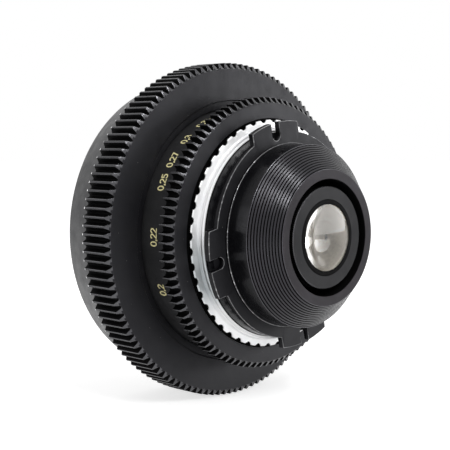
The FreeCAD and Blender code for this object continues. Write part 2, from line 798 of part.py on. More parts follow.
def make_focus_gear_ring():
    body = turned("focus_gear_ring_blank", [
        ("collar_radius + thrust_gap", "focus_rear_y"),
        ("grip_radius - grip_notch_depth", "focus_rear_y"),
        ("grip_radius - grip_notch_depth", "focus_rear_y - face_groove_depth"),
        ("grip_radius + face_groove_reach", "focus_rear_y - face_groove_depth"),
        ("grip_radius + face_groove_reach", "focus_rear_y"),
        ("focus_root_radius - focus_gear_edge", "focus_rear_y"),
        ("focus_root_radius", "focus_rear_y - focus_gear_edge"),
        ("focus_tip_radius", "focus_rear_y - focus_gear_chamfer"),
        ("focus_tip_radius", "focus_gear_front_y"),
        ("band_radius", "focus_gear_front_y"),
        ("band_radius", "skirt_front_y"),
        ("nut_radius", "skirt_front_y"),
        ("nut_radius", "nut_rear_y"),
        ("land_bore", "nut_rear_y"),
        ("land_bore", "land_rear_y"),
        ("collar_radius + thrust_gap", "land_rear_y"),
    ])
    cut_teeth(body, "focus_tooth", "focus_tip_radius", "focus_root_radius", "focus_gap_floor", "focus_teeth")
    spare = math.degrees(1.5 * value("stop_radius") / value("barrel_radius"))
    tools = [slice_of_ring(
        "stop_groove", "barrel_radius", "barrel_radius + stop_height + slide_gap",
        "stop_y - stop_radius - slide_gap", "stop_y + stop_radius + slide_gap",
        "focus_throw + 2 * 1.5 * stop_radius / barrel_radius * 180 / pi", value("stop_angle") - spare)]
    for index, angle in enumerate(spaced("screw_count", value("ring_screw_angle"))):
        tools.append(rod(
            f"ring_hole_{index}", "ring_screw_radius", "ring_screw_circle",
            "ring_screw_seat_y", "focus_rear_y", angle))
        tools.append(rod(
            f"ring_head_hole_{index}", "ring_screw_head_radius", "ring_screw_circle",
            "nut_rear_y", "ring_screw_seat_y", angle))
    for index, angle in enumerate(spaced("housing_screw_count", value("set_screw_angle"))):
        tools.append(radial_pin(
            f"skirt_hole_{index}", "set_screw_radius", "nut_radius - cut_margin", "band_radius + cut_margin",
            "set_screw_y", angle))
    return keep(cut("focus_gear_ring_part", body, tools), "focus_gear_ring")


def make_focus_grip_ring():
    body = turned("focus_grip_ring_blank", [
        ("land_bore", "focus_rear_y"),
        ("grip_radius", "focus_rear_y"),
        ("grip_radius", "grip_rim_y"),
        ("grip_radius - grip_rim_edge", "grip_rim_y + grip_rim_edge"),
        ("grip_face_radius", "grip_rim_y + 2 * grip_rim_edge"),
        ("grip_face_radius", "grip_face_y - grip_rim_edge"),
        ("grip_face_radius - grip_rim_edge", "grip_face_y"),
        ("grip_face_radius - 2 * grip_groove - grip_rim_edge / 2", "grip_face_y"),
        ("grip_face_radius - 3 * grip_groove", "grip_face_y - grip_groove"),
        ("grip_face_radius - 4 * grip_groove", "grip_face_y + grip_groove / 2"),
        ("land_bore + grip_groove", "grip_rear_y"),
        ("land_bore", "grip_rear_y"),
    ])
    sketch = add_sketch(body, "grip_notch", "XZ_Plane")
    outside, notch = value("grip_radius"), value("grip_notch_radius")
    sketch.addGeometry(Part.Circle(Vector(0, outside, 0), Vector(0, 0, 1), notch))
    sketch.addConstraint(Sketcher.Constraint("PointOnObject", 0, 3, -2))
    height = sketch.addConstraint(Sketcher.Constraint("DistanceY", -1, 1, 0, 3, outside))
    radius = sketch.addConstraint(Sketcher.Constraint("Radius", 0, notch))
    centre = "grip_radius + grip_notch_radius - grip_notch_depth"
    sketch.setExpression(f"Constraints[{height}]", formula(centre))
    sketch.setExpression(f"Constraints[{radius}]", formula("grip_notch_radius"))
    pocket = body.newObject("PartDesign::Pocket", "grip_notch_pocket")
    pocket.Profile = sketch
    pocket.Midplane = True
    pocket.Type = "ThroughAll"
    pattern_round_axis(body, pocket, "grip_notches")
    holes = []
    for index, angle in enumerate(spaced("screw_count", value("ring_screw_angle"))):
        holes.append(rod(
            f"grip_hole_{index}", "ring_screw_radius", "ring_screw_circle",
            "focus_rear_y", "focus_rear_y + ring_screw_bite", angle))
    return keep(cut("focus_grip_ring_part", body, holes), "focus_grip_ring")


def make_helicoid_nut():
    blank = turned("helicoid_nut_blank", [
        ("nut_bore", "nut_rear_y"),
        ("nut_radius", "nut_rear_y"),
        ("nut_radius", "skirt_front_y"),
        ("nut_bore", "skirt_front_y"),
    ])
    holes = []
    for index, angle in enumerate(spaced("housing_screw_count", value("set_screw_angle"))):
        holes.append(radial_pin(
            f"nut_hole_{index}", "set_screw_radius", "nut_radius - set_screw_sink", "band_radius",
            "set_screw_y", angle))
    return keep(cut("helicoid_nut_part", blank, holes), "helicoid_nut")


def make_focus_ring():
    make_focus_gear_ring()
    make_focus_grip_ring()
    make_helicoid_nut()
    cap_screws(
        "grip_ring_screws", spaced("screw_count", value("ring_screw_angle")), "ring_screw_circle",
        "ring_screw_radius", "ring_screw_head_radius",
        "ring_screw_seat_y", "focus_rear_y + ring_screw_bite - ring_screw_seat_y", 1)
    screws = []
    for index, angle in enumerate(spaced("housing_screw_count", value("set_screw_angle"))):
        screws.append(radial_pin(
            f"set_screw_{index}", "set_screw_radius",
            "nut_radius - set_screw_sink", "band_radius - slide_gap", "set_screw_y", angle))
    group = doc.addObject("Part::Compound", "nut_set_screws_part")
    group.Links = screws
    keep(group, "nut_set_screws")


# Optical block: barrel, front housing, trim ring and cells

def housing_screw_angles():
    """Three angles that stay clear of the slot for the drive pin."""
    slot_middle = value("drive_pin_angle") + value("aperture_throw") / 2
    return spaced("housing_screw_count", slot_middle + 180 / value("housing_screw_count"))


def make_optical_barrel():
    blank = turned("optical_barrel_blank", [
        ("slide_bore", "web_rear_y"),
        ("slide_radius", "web_rear_y"),
        ("slide_radius", "slide_rear_y"),
        ("tail_cell_radius", "slide_rear_y"),
        ("tail_cell_radius", "slide_web_y"),
        ("slide_waist", "slide_web_y"),
        ("slide_waist", "iris_shoulder_y"),
        ("slide_bore", "iris_shoulder_y"),
    ])
    tools = [
        block("key_slot", "key_width + slide_gap", "key_floor", "slide_radius + cut_margin",
              "key_front_y - loose_gap", "slide_rear_y", value("key_angle")),
        drive_slot("barrel_drive_slot", "slide_bore - cut_margin", "slide_radius + cut_margin"),
    ]
    for index, angle in enumerate(housing_screw_angles()):
        tools.append(rod(
            f"slide_hole_{index}", "screw_radius", "screw_circle",
            "web_rear_y", "web_rear_y + screw_bite", angle))
    for index, angle in enumerate(spaced("housing_screw_count")):
        tools.append(rod(
            f"web_hole_{index}", "screw_radius", "cell_screw_circle",
            "slide_rear_y - screw_bite / 2", "slide_rear_y", angle))
    return keep(cut("optical_barrel_part", blank, tools), "optical_barrel")


def drive_slot(name, inner, outer):
    """The slot round the axis that the aperture ring's pin runs in."""
    spare = math.degrees(1.5 * value("drive_pin_radius") / value("slide_bore"))
    return slice_of_ring(
        name, inner, outer, "drive_pin_y - drive_pin_radius - slide_gap",
        "drive_pin_y + drive_pin_radius + slide_gap",
        "aperture_throw + 2 * 1.5 * drive_pin_radius / slide_bore * 180 / pi",
        value("drive_pin_angle") - spare)


def make_front_housing():
    blank = turned("front_housing_blank", [
        ("housing_bore", "index_y"),
        ("index_radius", "index_y"),
        ("index_radius", "shoulder_y"),
        ("housing_radius", "shoulder_y"),
        ("housing_radius", "housing_front_y"),
        ("cell_radius", "housing_front_y"),
        ("cell_radius", "web_front_y"),
        ("inner_cell_radius", "web_front_y"),
        ("inner_cell_radius", "web_rear_y"),
        ("housing_radius - housing_wall", "web_rear_y"),
        ("housing_radius - housing_wall", "skirt_front_y - loose_gap"),
        ("housing_bore", "skirt_front_y - loose_gap"),
    ])
    tools = [drive_slot(
        "housing_drive_slot", "housing_radius - housing_wall - cut_margin", "index_radius + cut_margin")]
    for index, angle in enumerate(housing_screw_angles()):
        tools.append(rod(
            f"housing_hole_{index}", "screw_radius", "screw_circle",
            "housing_screw_seat_y", "web_rear_y", angle))
        tools.append(rod(
            f"housing_head_hole_{index}", "screw_head_radius", "screw_circle",
            "web_front_y", "housing_screw_seat_y", angle))
    return keep(cut("front_housing_part", blank, tools), "front_housing")


def make_front_trim_ring():
    return keep(turned("front_trim_ring_part", [
        ("filter_radius + trim_edge / 2", "trim_front_y"),
        ("trim_radius - trim_edge", "trim_front_y"),
        ("trim_radius", "trim_front_y + trim_edge"),
        ("trim_radius", "trim_rear_y"),
        ("housing_radius", "trim_rear_y"),
        ("housing_radius", "housing_front_y"),
        ("filter_radius", "housing_front_y"),
        ("filter_radius", "trim_front_y + trim_edge / 2"),
    ]), "front_trim_ring")


def glass(node, radius, front, rear, shapes):
    """A round glass blank from front to rear, shaped by (kind, ball radius, centre) in turn:
    a dome keeps what the ball holds and a hollow loses it."""
    item = disc(node + "_blank", radius, front, rear)
    for index, (kind, bend, centre) in enumerate(shapes):
        tool = ball(f"{node}_{kind}_{index}", bend, centre)
        if kind == "dome":
            item = common(f"{node}_shape_{index}", item, tool)
        else:
            item = cut(f"{node}_shape_{index}", item, [tool])
    return keep(item, node)


def make_front_group():
    keep(turned("front_cell_part", [
        ("cell_mouth_radius", "housing_front_y"),
        ("cell_radius", "housing_front_y"),
        ("cell_radius", "web_front_y"),
        ("cell_ledge_radius", "web_front_y"),
        ("cell_ledge_radius", "front_glass_rear_y"),
        ("front_glass_radius + glass_gap", "front_glass_rear_y"),
        ("front_glass_radius + glass_gap", "front_lock_rear_y"),
        ("cell_mouth_radius", "front_lock_rear_y"),
    ]), "front_cell")
    glass("front_element", "front_glass_radius", "front_glass_y", "front_glass_rear_y", [
        ("dome", "front_glass_bend", "front_glass_y + front_glass_bend"),
        ("hollow", "front_glass_hollow", "front_glass_y + front_glass_centre + front_glass_hollow"),
    ])
    keep(turned("front_retaining_ring_part", [
        ("cell_mouth_radius", "front_lock_rear_y"),
        ("front_glass_radius + glass_gap", "front_lock_rear_y"),
        ("front_lock_bore", "front_lock_lip_y"),
        ("front_lock_bore", "front_lock_lip_y - 2 * slide_gap"),
        ("front_glass_radius", "front_lock_front_y"),
        ("cell_mouth_radius", "front_lock_front_y"),
    ]), "front_retaining_ring")
    keep(turned("inner_cell_part", [
        ("second_glass_radius + glass_gap", "inner_cell_front_y"),
        ("inner_cell_flange", "inner_cell_front_y"),
        ("inner_cell_flange", "web_front_y"),
        ("inner_cell_radius", "web_front_y"),
        ("inner_cell_radius", "inner_cell_rear_y"),
        ("second_lock_bore", "inner_cell_rear_y"),
        ("second_lock_bore", "second_glass_rear_y"),
        ("second_glass_radius + glass_gap", "second_glass_rear_y"),
    ]), "inner_cell")
    glass("second_element", "second_glass_radius", "second_glass_y", "second_glass_rear_y", [
        ("dome", "second_glass_bend", "second_glass_y + second_glass_bend"),
        ("hollow", "second_glass_hollow",
         "second_glass_rear_y + sqrt(second_glass_hollow^2 - second_glass_clear^2)"),
    ])
    keep(turned("second_retaining_ring_part", [
        ("second_lock_bore", "second_lock_rear_y - second_lock_height"),
        ("second_glass_radius + glass_gap", "second_lock_rear_y - second_lock_height"),
        ("second_glass_radius + glass_gap", "second_lock_rear_y"),
        ("second_lock_bore", "second_lock_rear_y"),
    ]), "second_retaining_ring")


def make_rear_group():
    cell_corners = [
        ("doublet_radius + glass_gap", "tail_cell_front_y"),
        ("tail_cell_radius", "tail_cell_front_y"),
        ("tail_cell_radius", "slide_rear_y"),
        ("tail_flange_radius", "slide_rear_y"),
        ("tail_flange_radius", "tail_flange_rear_y"),
        ("tail_cell_radius", "tail_flange_rear_y"),
    ]
    cell_corners += ridges(
        "tail_cell_radius", "thread_ridge_depth", "tail_cell_rear_y - thread_ridge_length",
        "thread_ridge_length", "thread_ridges")
    cell_corners += [
        ("tail_cell_radius", "tail_cell_rear_y"),
        ("rear_bore", "tail_cell_rear_y"),
        ("rear_bore", "ledge_rear_y"),
        ("ledge_bore", "ledge_rear_y"),
        ("ledge_bore", "ledge_front_y"),
        ("doublet_radius + glass_gap", "ledge_front_y"),
    ]
    blank = turned("rear_cell_blank", cell_corners)
    holes = []
    for index, angle in enumerate(spaced("housing_screw_count")):
        holes.append(rod(
            f"rear_flange_hole_{index}", "screw_radius", "cell_screw_circle",
            "slide_rear_y", "tail_flange_rear_y", angle))
    keep(cut("rear_cell_part", blank, holes), "rear_cell")
    cap_screws(
        "rear_cell_screws", spaced("housing_screw_count"), "cell_screw_circle", "screw_radius",
        "screw_head_radius", "tail_flange_rear_y", "tail_flange_width + screw_bite / 2", -1)
    crown_centre = "crown_front_y + crown_bend"
    glass("doublet_crown", "doublet_radius", "crown_front_y", "ledge_front_y", [
        ("dome", "crown_bend", crown_centre),
    ])
    crown_edge = "crown_front_y + crown_bend - sqrt(crown_bend^2 - doublet_radius^2)"
    glass("doublet_flint", "doublet_radius", "flint_front_y", crown_edge, [
        ("hollow", "crown_bend", crown_centre),
        ("hollow", "flint_hollow", "flint_front_y - sqrt(flint_hollow^2 - flint_clear^2)"),
    ])
    keep(turned("doublet_retaining_ring_part", [
        ("flint_clear", "flint_front_y - doublet_lock_height"),
        ("doublet_radius + glass_gap", "flint_front_y - doublet_lock_height"),
        ("doublet_radius + glass_gap", "flint_front_y"),
        ("flint_clear", "flint_front_y"),
    ]), "doublet_retaining_ring")
    glass("middle_element", "rear_glass_radius", "ledge_rear_y", "middle_glass_rear_y", [
        ("hollow", "middle_glass_hollow",
         "ledge_rear_y - sqrt(middle_glass_hollow^2 - middle_glass_clear^2)"),
        ("dome", "middle_glass_bend", "middle_glass_rear_y - middle_glass_bend"),
    ])
    keep(turned("glass_spacer_part", [
        ("ledge_bore", "spacer_front_y"),
        ("rear_glass_radius", "spacer_front_y"),
        ("rear_glass_radius", "spacer_rear_y"),
        ("ledge_bore", "spacer_rear_y"),
    ]), "glass_spacer")
    glass("rear_element", "rear_glass_radius", "rear_glass_front_y", "rear_glass_y", [
        ("dome", "rear_glass_front_bend", "rear_glass_front_y + rear_glass_front_bend"),
        ("dome", "rear_glass_bend", "rear_glass_y - rear_glass_bend"),
    ])
    keep(turned("rear_retaining_ring_part", [
        ("rear_bore", "tail_cell_rear_y"),
        ("rear_lock_radius", "tail_cell_rear_y"),
        ("rear_lock_radius", "rear_lock_y - rear_lock_edge"),
        ("rear_lock_radius - rear_lock_edge", "rear_lock_y"),
        ("rear_lock_bore + rear_lock_chamfer + 2 * rear_lock_groove", "rear_lock_y"),
        ("rear_lock_bore + rear_lock_chamfer + rear_lock_groove", "rear_lock_y - rear_lock_groove"),
        ("rear_lock_bore + rear_lock_chamfer", "rear_lock_y"),
        ("rear_lock_bore", "rear_lock_lip_y + rear_lock_gap"),
        ("rear_lock_bore", "rear_lock_lip_y"),
        ("rear_bore", "rear_glass_edge_y + rear_lock_gap"),
    ]), "rear_retaining_ring")


# Iris: base, rotor with cam slots, blades and back plate

def tail_place(turn):
    """Where the tail pin of the blade at angle 0 lies once the blade has turned:
    its place along X and its place towards a growing angle."""
    angle = math.radians(turn - value("tail_angle"))
    ahead = value("blade_circle") + value("tail_length") * math.cos(angle)
    return ahead, value("tail_length") * math.sin(angle)


def cam_slots():
    """The cam slots of the rotor. Each is the path of a tail pin as the rotor sees it,
    widened by the pin and its clearance."""
    steps = 12
    reach = value("iris_pin_radius") + value("slide_gap")
    first, last = -0.02, 1.02
    path = []
    for step in range(steps + 1):
        share = first + (last - first) * step / steps
        ahead, across = tail_place(share * value("blade_turn"))
        back = math.radians(-share * value("aperture_throw"))
        path.append(Vector(
            ahead * math.cos(back) - across * math.sin(back),
            ahead * math.sin(back) + across * math.cos(back), 0))
    sides = {1: [], -1: []}
    for index, point in enumerate(path):
        ahead = path[min(index + 1, steps)] - path[max(index - 1, 0)]
        normal = Vector(-ahead.y, ahead.x, 0).normalize()
        for side, points in sides.items():
            points.append(point + normal * (side * reach))
    edges = []
    for side in (1, -1):
        curve = Part.BSplineCurve()
        curve.interpolate(sides[side])
        edges.append(curve.toShape())
    for end, other in ((0, 1), (steps, steps - 1)):
        away = (path[end] - path[other]).normalize()
        tip = path[end] + away * reach
        edges.append(Part.Arc(sides[1][end], tip, sides[-1][end]).toShape())
    wire = Part.Wire(Part.sortEdges(edges)[0])
    height = value("rotor_thickness") + 2
    slot = Part.Face(wire).extrude(Vector(0, 0, height))
    slots = []
    for angle in spaced("blade_count"):
        copy = slot.copy()
        copy.Placement = Placement(Vector(0, value("rotor_front_y") - 1, 0), along_axis(angle))
        slots.append(copy)
    item = doc.addObject("Part::Feature", "cam_slots")
    item.Shape = Part.makeCompound(slots)
    return item


def make_iris_rotor():
    blank = turned("iris_rotor_blank", [
        ("rotor_bore", "rotor_end_y"),
        ("rotor_radius", "rotor_end_y"),
        ("rotor_radius", "rotor_rear_y"),
        ("rotor_eye", "rotor_rear_y"),
        ("rotor_eye", "rotor_front_y"),
        ("rotor_bore", "rotor_front_y"),
    ])
    hole = radial_pin(
        "rotor_pin_hole", "drive_pin_radius", "rotor_bore - cut_margin", "rotor_radius + cut_margin",
        "drive_pin_y", value("drive_pin_angle"))
    return keep(cut("iris_rotor_part", blank, [cam_slots(), hole]), "iris_rotor")


def make_iris_base():
    blank = turned("iris_base_blank", [
        ("iris_mouth", "inner_cell_rear_y"),
        ("inner_cell_radius", "inner_cell_rear_y"),
        ("inner_cell_radius", "iris_hub_front_y"),
        ("iris_hub_radius", "iris_hub_front_y"),
        ("iris_hub_radius", "iris_y"),
        ("iris_mouth", "iris_y"),
    ])
    holes = []
    for index, angle in enumerate(spaced("blade_count")):
        holes.append(rod(
            f"pivot_hole_{index}", "iris_pin_radius + running_gap", "blade_circle",
            "iris_y - iris_pin_depth - slide_gap", "iris_y", angle))
    return keep(cut("iris_base_part", blank, holes), "iris_base")


def make_iris_plate():
    keep(turned("iris_back_plate_part", [
        ("iris_mouth", "iris_plate_y"),
        ("slide_bore", "iris_plate_y"),
        ("slide_bore", "iris_shoulder_y"),
        ("iris_mouth", "iris_shoulder_y"),
    ]), "iris_back_plate")


def flat_disc(name, radius, height, x=0.0, y=0.0, z=0.0):
    item = doc.addObject("Part::Cylinder", name)
    bind(item, Radius=radius, Height=height)
    item.Placement.Base = Vector(x, y, z)
    return item


def make_blade(number, angle):
    """One leaf. In its own frame the pivot is the origin, X points away from the optical
    axis and Z points to the rear. The leaf leans so that its tip clears its neighbour."""
    name = f"iris_blade_{number}"
    circle = value("blade_circle")
    outside = doc.addObject("Part::Cylinder", name + "_outside")
    bind(outside, Radius="blade_circle + blade_width / 2", Height="blade_thickness", Angle="blade_sweep")
    inside = doc.addObject("Part::Cylinder", name + "_inside")
    bind(inside, Radius="blade_circle - blade_width / 2", Height="blade_thickness")
    for item in (outside, inside):
        item.setExpression("Placement.Base.x", formula("0 - blade_circle"))
    crescent = cut(name + "_crescent", outside, [inside])
    sweep = math.radians(value("blade_sweep"))
    tip = flat_disc(
        name + "_tip", "blade_tip_radius", "blade_thickness",
        circle * (math.cos(sweep) - 1), circle * math.sin(sweep))
    root = flat_disc(name + "_root", "blade_root_radius", "blade_thickness")
    tail = doc.addObject("Part::Box", name + "_tail")
    bind(tail, Length="tail_length", Width="2 * tail_radius", Height="blade_thickness")
    back = math.radians(value("tail_angle"))
    side = value("tail_radius")
    tail.Placement = Placement(
        Vector(-side * math.sin(back), -side * math.cos(back), 0),
        Rotation(Vector(0, 0, 1), -value("tail_angle")))
    end_x = value("tail_length") * math.cos(back)
    end_y = -value("tail_length") * math.sin(back)
    end = flat_disc(name + "_tail_end", "tail_radius", "blade_thickness", end_x, end_y)
    leaf = doc.addObject("Part::MultiFuse", name + "_leaf")
    leaf.Shapes = [crescent, tip, root, tail, end]
    lean_axis = math.radians(value("blade_sweep") / 2)
    leaf.Placement = Placement(
        Vector(0, 0, value("blade_lift")),
        Rotation(Vector(math.cos(lean_axis), math.sin(lean_axis), 0), value("blade_tilt")))
    slope = math.tan(math.radians(value("blade_tilt")))
    tip_way = Vector(-math.sin(lean_axis), math.cos(lean_axis), 0)
    tail_height = value("blade_lift") + slope * Vector(end_x, end_y, 0).dot(tip_way)
    pin_foot = -value("iris_pin_depth")
    pivot = flat_disc(
        name + "_pivot", "iris_pin_radius", f"blade_lift + iris_pin_depth + blade_thickness / 2", z=pin_foot)
    cam = flat_disc(
        name + "_cam", "iris_pin_radius", f"iris_pin_depth + {tail_height:.6f} + blade_thickness / 2",
        end_x, end_y, pin_foot)
    blade = doc.addObject("Part::MultiFuse", name + "_part")
    blade.Shapes = [leaf, pivot, cam]
    radians = math.radians(angle)
    blade.Placement = Placement(
        Vector(circle * math.cos(radians), value("iris_y"), -circle * math.sin(radians)), along_axis(angle))
    return keep(blade, name)


def make_iris():
    make_iris_base()
    make_iris_rotor()
    make_iris_plate()
    for number, angle in enumerate(spaced("blade_count"), start=1):
        make_blade(number, angle)


# Aperture ring with its drive pin

def make_aperture_ring():
    body = turned("aperture_gear_ring_blank", [
        ("index_radius + thrust_gap", "ring_rear_y"),
        ("aperture_root_radius", "ring_rear_y"),
        ("aperture_tip_radius", "ring_rear_y - ring_gear_chamfer"),
        ("aperture_tip_radius", "ring_gear_front_y + ring_gear_runout"),
        ("aperture_root_radius - ring_gear_step", "ring_gear_front_y"),
        ("ring_front_radius + ring_edge / 2", "ring_front_y + ring_edge"),
        ("ring_front_radius - ring_edge / 2", "ring_front_y"),
        ("trim_radius + loose_gap", "ring_front_y"),
        ("trim_radius + loose_gap", "ring_land_front_y"),
        ("housing_radius + running_gap", "ring_land_front_y"),
        ("housing_radius + running_gap", "ring_land_rear_y"),
        ("index_radius + thrust_gap", "ring_land_rear_y"),
    ])
    cut_teeth(
        body, "aperture_tooth", "aperture_tip_radius", "aperture_root_radius", "aperture_gap_floor",
        "aperture_teeth")
    pin_end = "housing_radius + drive_pin_depth"
    angle = value("drive_pin_angle")
    hole = radial_pin("ring_pin_hole", "drive_pin_radius", "cell_radius", pin_end, "drive_pin_y", angle)
    keep(cut("aperture_gear_ring_part", body, [hole]), "aperture_gear_ring")
    pin = radial_pin(
        "aperture_drive_pin_part", "drive_pin_radius", "rotor_bore", pin_end, "drive_pin_y", angle)
    keep(pin, "aperture_drive_pin")


make_mount()
make_focus_ring()
make_optical_barrel()
make_front_housing()
make_front_trim_ring()
make_front_group()
make_iris()
make_rear_group()
make_aperture_ring()
cap_screws(
    "housing_screws", housing_screw_angles(), "screw_circle", "screw_radius", "screw_head_radius",
    "housing_screw_seat_y", "web_rear_y + screw_bite - housing_screw_seat_y", 1)

doc.recompute()

for item in doc.Objects:
    if "Invalid" in item.State or "Error" in item.State:
        raise RuntimeError(f"{item.Label} failed: {item.State}")
for item in nodes:
    if item.Shape.isNull() or not item.Shape.isValid():
        raise RuntimeError(f"{item.Label} has no valid shape")

os.makedirs("parts", exist_ok=True)
for item in nodes:
    item.Shape.exportStep(f"parts/{item.Label}.step")
    print(f"{item.Label}: {len(item.Shape.Solids)} solid(s), {item.Shape.Volume:.1f} mm3")
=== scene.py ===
import json
import math

import bmesh
import bpy
from mathutils import Matrix, Vector


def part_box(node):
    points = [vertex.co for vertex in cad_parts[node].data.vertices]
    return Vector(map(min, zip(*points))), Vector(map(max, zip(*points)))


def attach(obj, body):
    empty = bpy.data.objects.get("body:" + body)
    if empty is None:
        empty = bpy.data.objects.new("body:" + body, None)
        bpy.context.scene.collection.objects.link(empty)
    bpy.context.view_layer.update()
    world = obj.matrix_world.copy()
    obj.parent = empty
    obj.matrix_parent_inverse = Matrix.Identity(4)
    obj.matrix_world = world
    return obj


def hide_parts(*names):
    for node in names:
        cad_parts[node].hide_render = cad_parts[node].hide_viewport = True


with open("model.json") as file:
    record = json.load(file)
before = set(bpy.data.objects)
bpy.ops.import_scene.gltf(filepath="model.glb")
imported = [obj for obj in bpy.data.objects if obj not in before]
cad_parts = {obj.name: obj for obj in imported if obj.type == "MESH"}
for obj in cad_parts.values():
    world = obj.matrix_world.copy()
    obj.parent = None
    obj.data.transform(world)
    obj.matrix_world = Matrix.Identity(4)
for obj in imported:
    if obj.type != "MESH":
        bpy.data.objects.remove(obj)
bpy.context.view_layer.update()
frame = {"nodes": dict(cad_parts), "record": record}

# The optical axis is Y, the camera side is +Y and Z is up. Sizes below are in millimetres
# and are turned to metres where a mesh is made. A clock angle is 0 at the top of the lens
# and grows clockwise as seen from the rear.
MM = 0.001


def node_span(node):
    """Front and rear of a node along the optical axis, in millimetres."""
    low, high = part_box(node)
    return round(low.y / MM, 2), round(high.y / MM, 2)


def node_radius(node):
    """Outer radius of a round node, in millimetres."""
    low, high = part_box(node)
    return round(high.x / MM, 2)


# Camera, at the photograph's place: the lens axis is level and seen from behind

VIEW_AZIMUTH = 135.04
VIEW_ELEVATION = 4.48
FOCAL_LENGTH = 89.27
SENSOR_WIDTH = 36.0
AIM_DISTANCE = 350.5
AIM_RIGHT = 2.56
AIM_DOWN = 1.57
AIM_POINT = Vector((0, -24.1, 0))


def make_camera():
    turn, lift = math.radians(VIEW_AZIMUTH), math.radians(VIEW_ELEVATION)
    back = Vector((math.sin(turn) * math.cos(lift), -math.cos(turn) * math.cos(lift), math.sin(lift)))
    right = Vector((math.cos(turn), math.sin(turn), 0))
    up = back.cross(right)
    place = AIM_POINT - right * AIM_RIGHT + up * AIM_DOWN + back * AIM_DISTANCE
    data = bpy.data.cameras.new("camera")
    data.lens = FOCAL_LENGTH
    data.sensor_width = SENSOR_WIDTH
    data.clip_start = 0.01
    data.clip_end = 20
    camera = bpy.data.objects.new("camera", data)
    axes = Matrix((right, up, back)).transposed()
    camera.matrix_world = Matrix.Translation(place * MM) @ axes.to_4x4()
    bpy.context.scene.collection.objects.link(camera)
    bpy.context.scene.camera = camera


make_camera()


# Node helpers for materials

class Shade:
    """A material under construction, with short calls that add and link its nodes."""

    def __init__(self, name):
        self.material = bpy.data.materials.new(name)
        self.material.use_nodes = True
        self.tree = self.material.node_tree
        self.shader = self.tree.nodes["Principled BSDF"]
        self.place = self.add("ShaderNodeTexCoord").outputs["Object"]
        split = self.add("ShaderNodeSeparateXYZ")
        self.tree.links.new(self.place, split.inputs[0])
        self.along = split.outputs["Y"]
        across = self.math("MULTIPLY", split.outputs["X"], split.outputs["X"])
        height = self.math("MULTIPLY", split.outputs["Z"], split.outputs["Z"])
        self.radius = self.math("SQRT", self.math("ADD", across, height))
        self.turn = self.math("ARCTAN2", split.outputs["X"], split.outputs["Z"])

    def add(self, kind, **settings):
        node = self.tree.nodes.new(kind)
        for name, value in settings.items():
            setattr(node, name, value)
        return node

    def put(self, socket, value):
        """Link a socket's source, or write a plain value."""
        if isinstance(value, bpy.types.NodeSocket):
            self.tree.links.new(value, socket)
        else:
            socket.default_value = value

    def math(self, operation, first, second=None):
        node = self.add("ShaderNodeMath", operation=operation)
        self.put(node.inputs[0], first)
        if second is not None:
            self.put(node.inputs[1], second)
        return node.outputs[0]

    def range(self, source, low, high, new_low, new_high, smooth=False):
        node = self.add("ShaderNodeMapRange", interpolation_type="SMOOTHSTEP" if smooth else "LINEAR")
        for index, value in enumerate((source, low, high, new_low, new_high)):
            self.put(node.inputs[index], value)
        return node.outputs[0]

    def noise(self, scale, detail=3.0, rough=0.5):
        node = self.add("ShaderNodeTexNoise")
        self.put(node.inputs["Vector"], self.place)
        node.inputs["Scale"].default_value = scale
        node.inputs["Detail"].default_value = detail
        node.inputs["Roughness"].default_value = rough
        return node.outputs["Fac"]

    def specks(self, scale, size, share):
        """Tiny round spots in a share of the cells of a random mesh."""
        node = self.add("ShaderNodeTexVoronoi")
        self.put(node.inputs["Vector"], self.place)
        node.inputs["Scale"].default_value = scale
        spot = self.range(node.outputs["Distance"], size * 0.6, size, 1.0, 0.0)
        split = self.add("ShaderNodeSeparateColor")
        self.put(split.inputs[0], node.outputs["Color"])
        chosen = self.math("LESS_THAN", split.outputs[0], share)
        return self.math("MULTIPLY", spot, chosen)

    def mix(self, factor, first, second):
        node = self.add("ShaderNodeMix", data_type="RGBA")
        self.put(node.inputs["Factor"], factor)
        colours = [socket for socket in node.inputs if socket.type == "RGBA"]
        for socket, value in zip(colours, (first, second)):
            self.put(socket, (*value, 1.0) if isinstance(value, tuple) else value)
        return [socket for socket in node.outputs if socket.type == "RGBA"][0]

    def bump(self, height, strength, distance, below=None):
        node = self.add("ShaderNodeBump")
        node.inputs["Strength"].default_value = strength
        node.inputs["Distance"].default_value = distance
        self.put(node.inputs["Height"], height)
        if below:
            self.put(node.inputs["Normal"], below)
        return node.outputs["Normal"]

    def finish(self, **inputs):
        for name, value in inputs.items():
            socket = self.shader.inputs[name.replace("_", " ")]
            self.put(socket, (*value, 1.0) if isinstance(value, tuple) and len(value) == 3 else value)
        return self.material

    def turning_marks(self, facing, pitch):
        """Fine rings round the axis, as a wave from 0 to 1, on an end face or a side wall."""
        coordinate = self.radius if facing == "face" else self.along
        wave = self.math("SINE", self.math("MULTIPLY", coordinate, 2 * math.pi / (pitch * MM)))
        return self.range(wave, -1.0, 1.0, 0.0, 1.0)

    def lathe_sheen(self, share):
        """The shader's inputs for metal turned on a lathe, which spreads light across its marks."""
        tangent = self.add("ShaderNodeTangent", direction_type="RADIAL", axis="Y").outputs[0]
        return {"Anisotropic": share, "Anisotropic_Rotation": 0.25, "Tangent": tangent}


# Tones, marks and a painted reflection that several finishes share
LINT_GREY = (0.45, 0.44, 0.42)
COOL_SHEEN = (0.93, 0.93, 1.0)
BLACK_MARKS_PITCH = 0.21
BARE_MARKS_PITCH = 0.18
# Painted reflection: a darker blue-grey between these turns round the axis, standing for a dark reflection on
# that side
PAINTED_REFLECTION_GREY = (0.33, 0.38, 0.4)
PAINTED_REFLECTION_STARTS = (1.45, 1.75)
PAINTED_REFLECTION_ENDS = (2.0, 2.35)


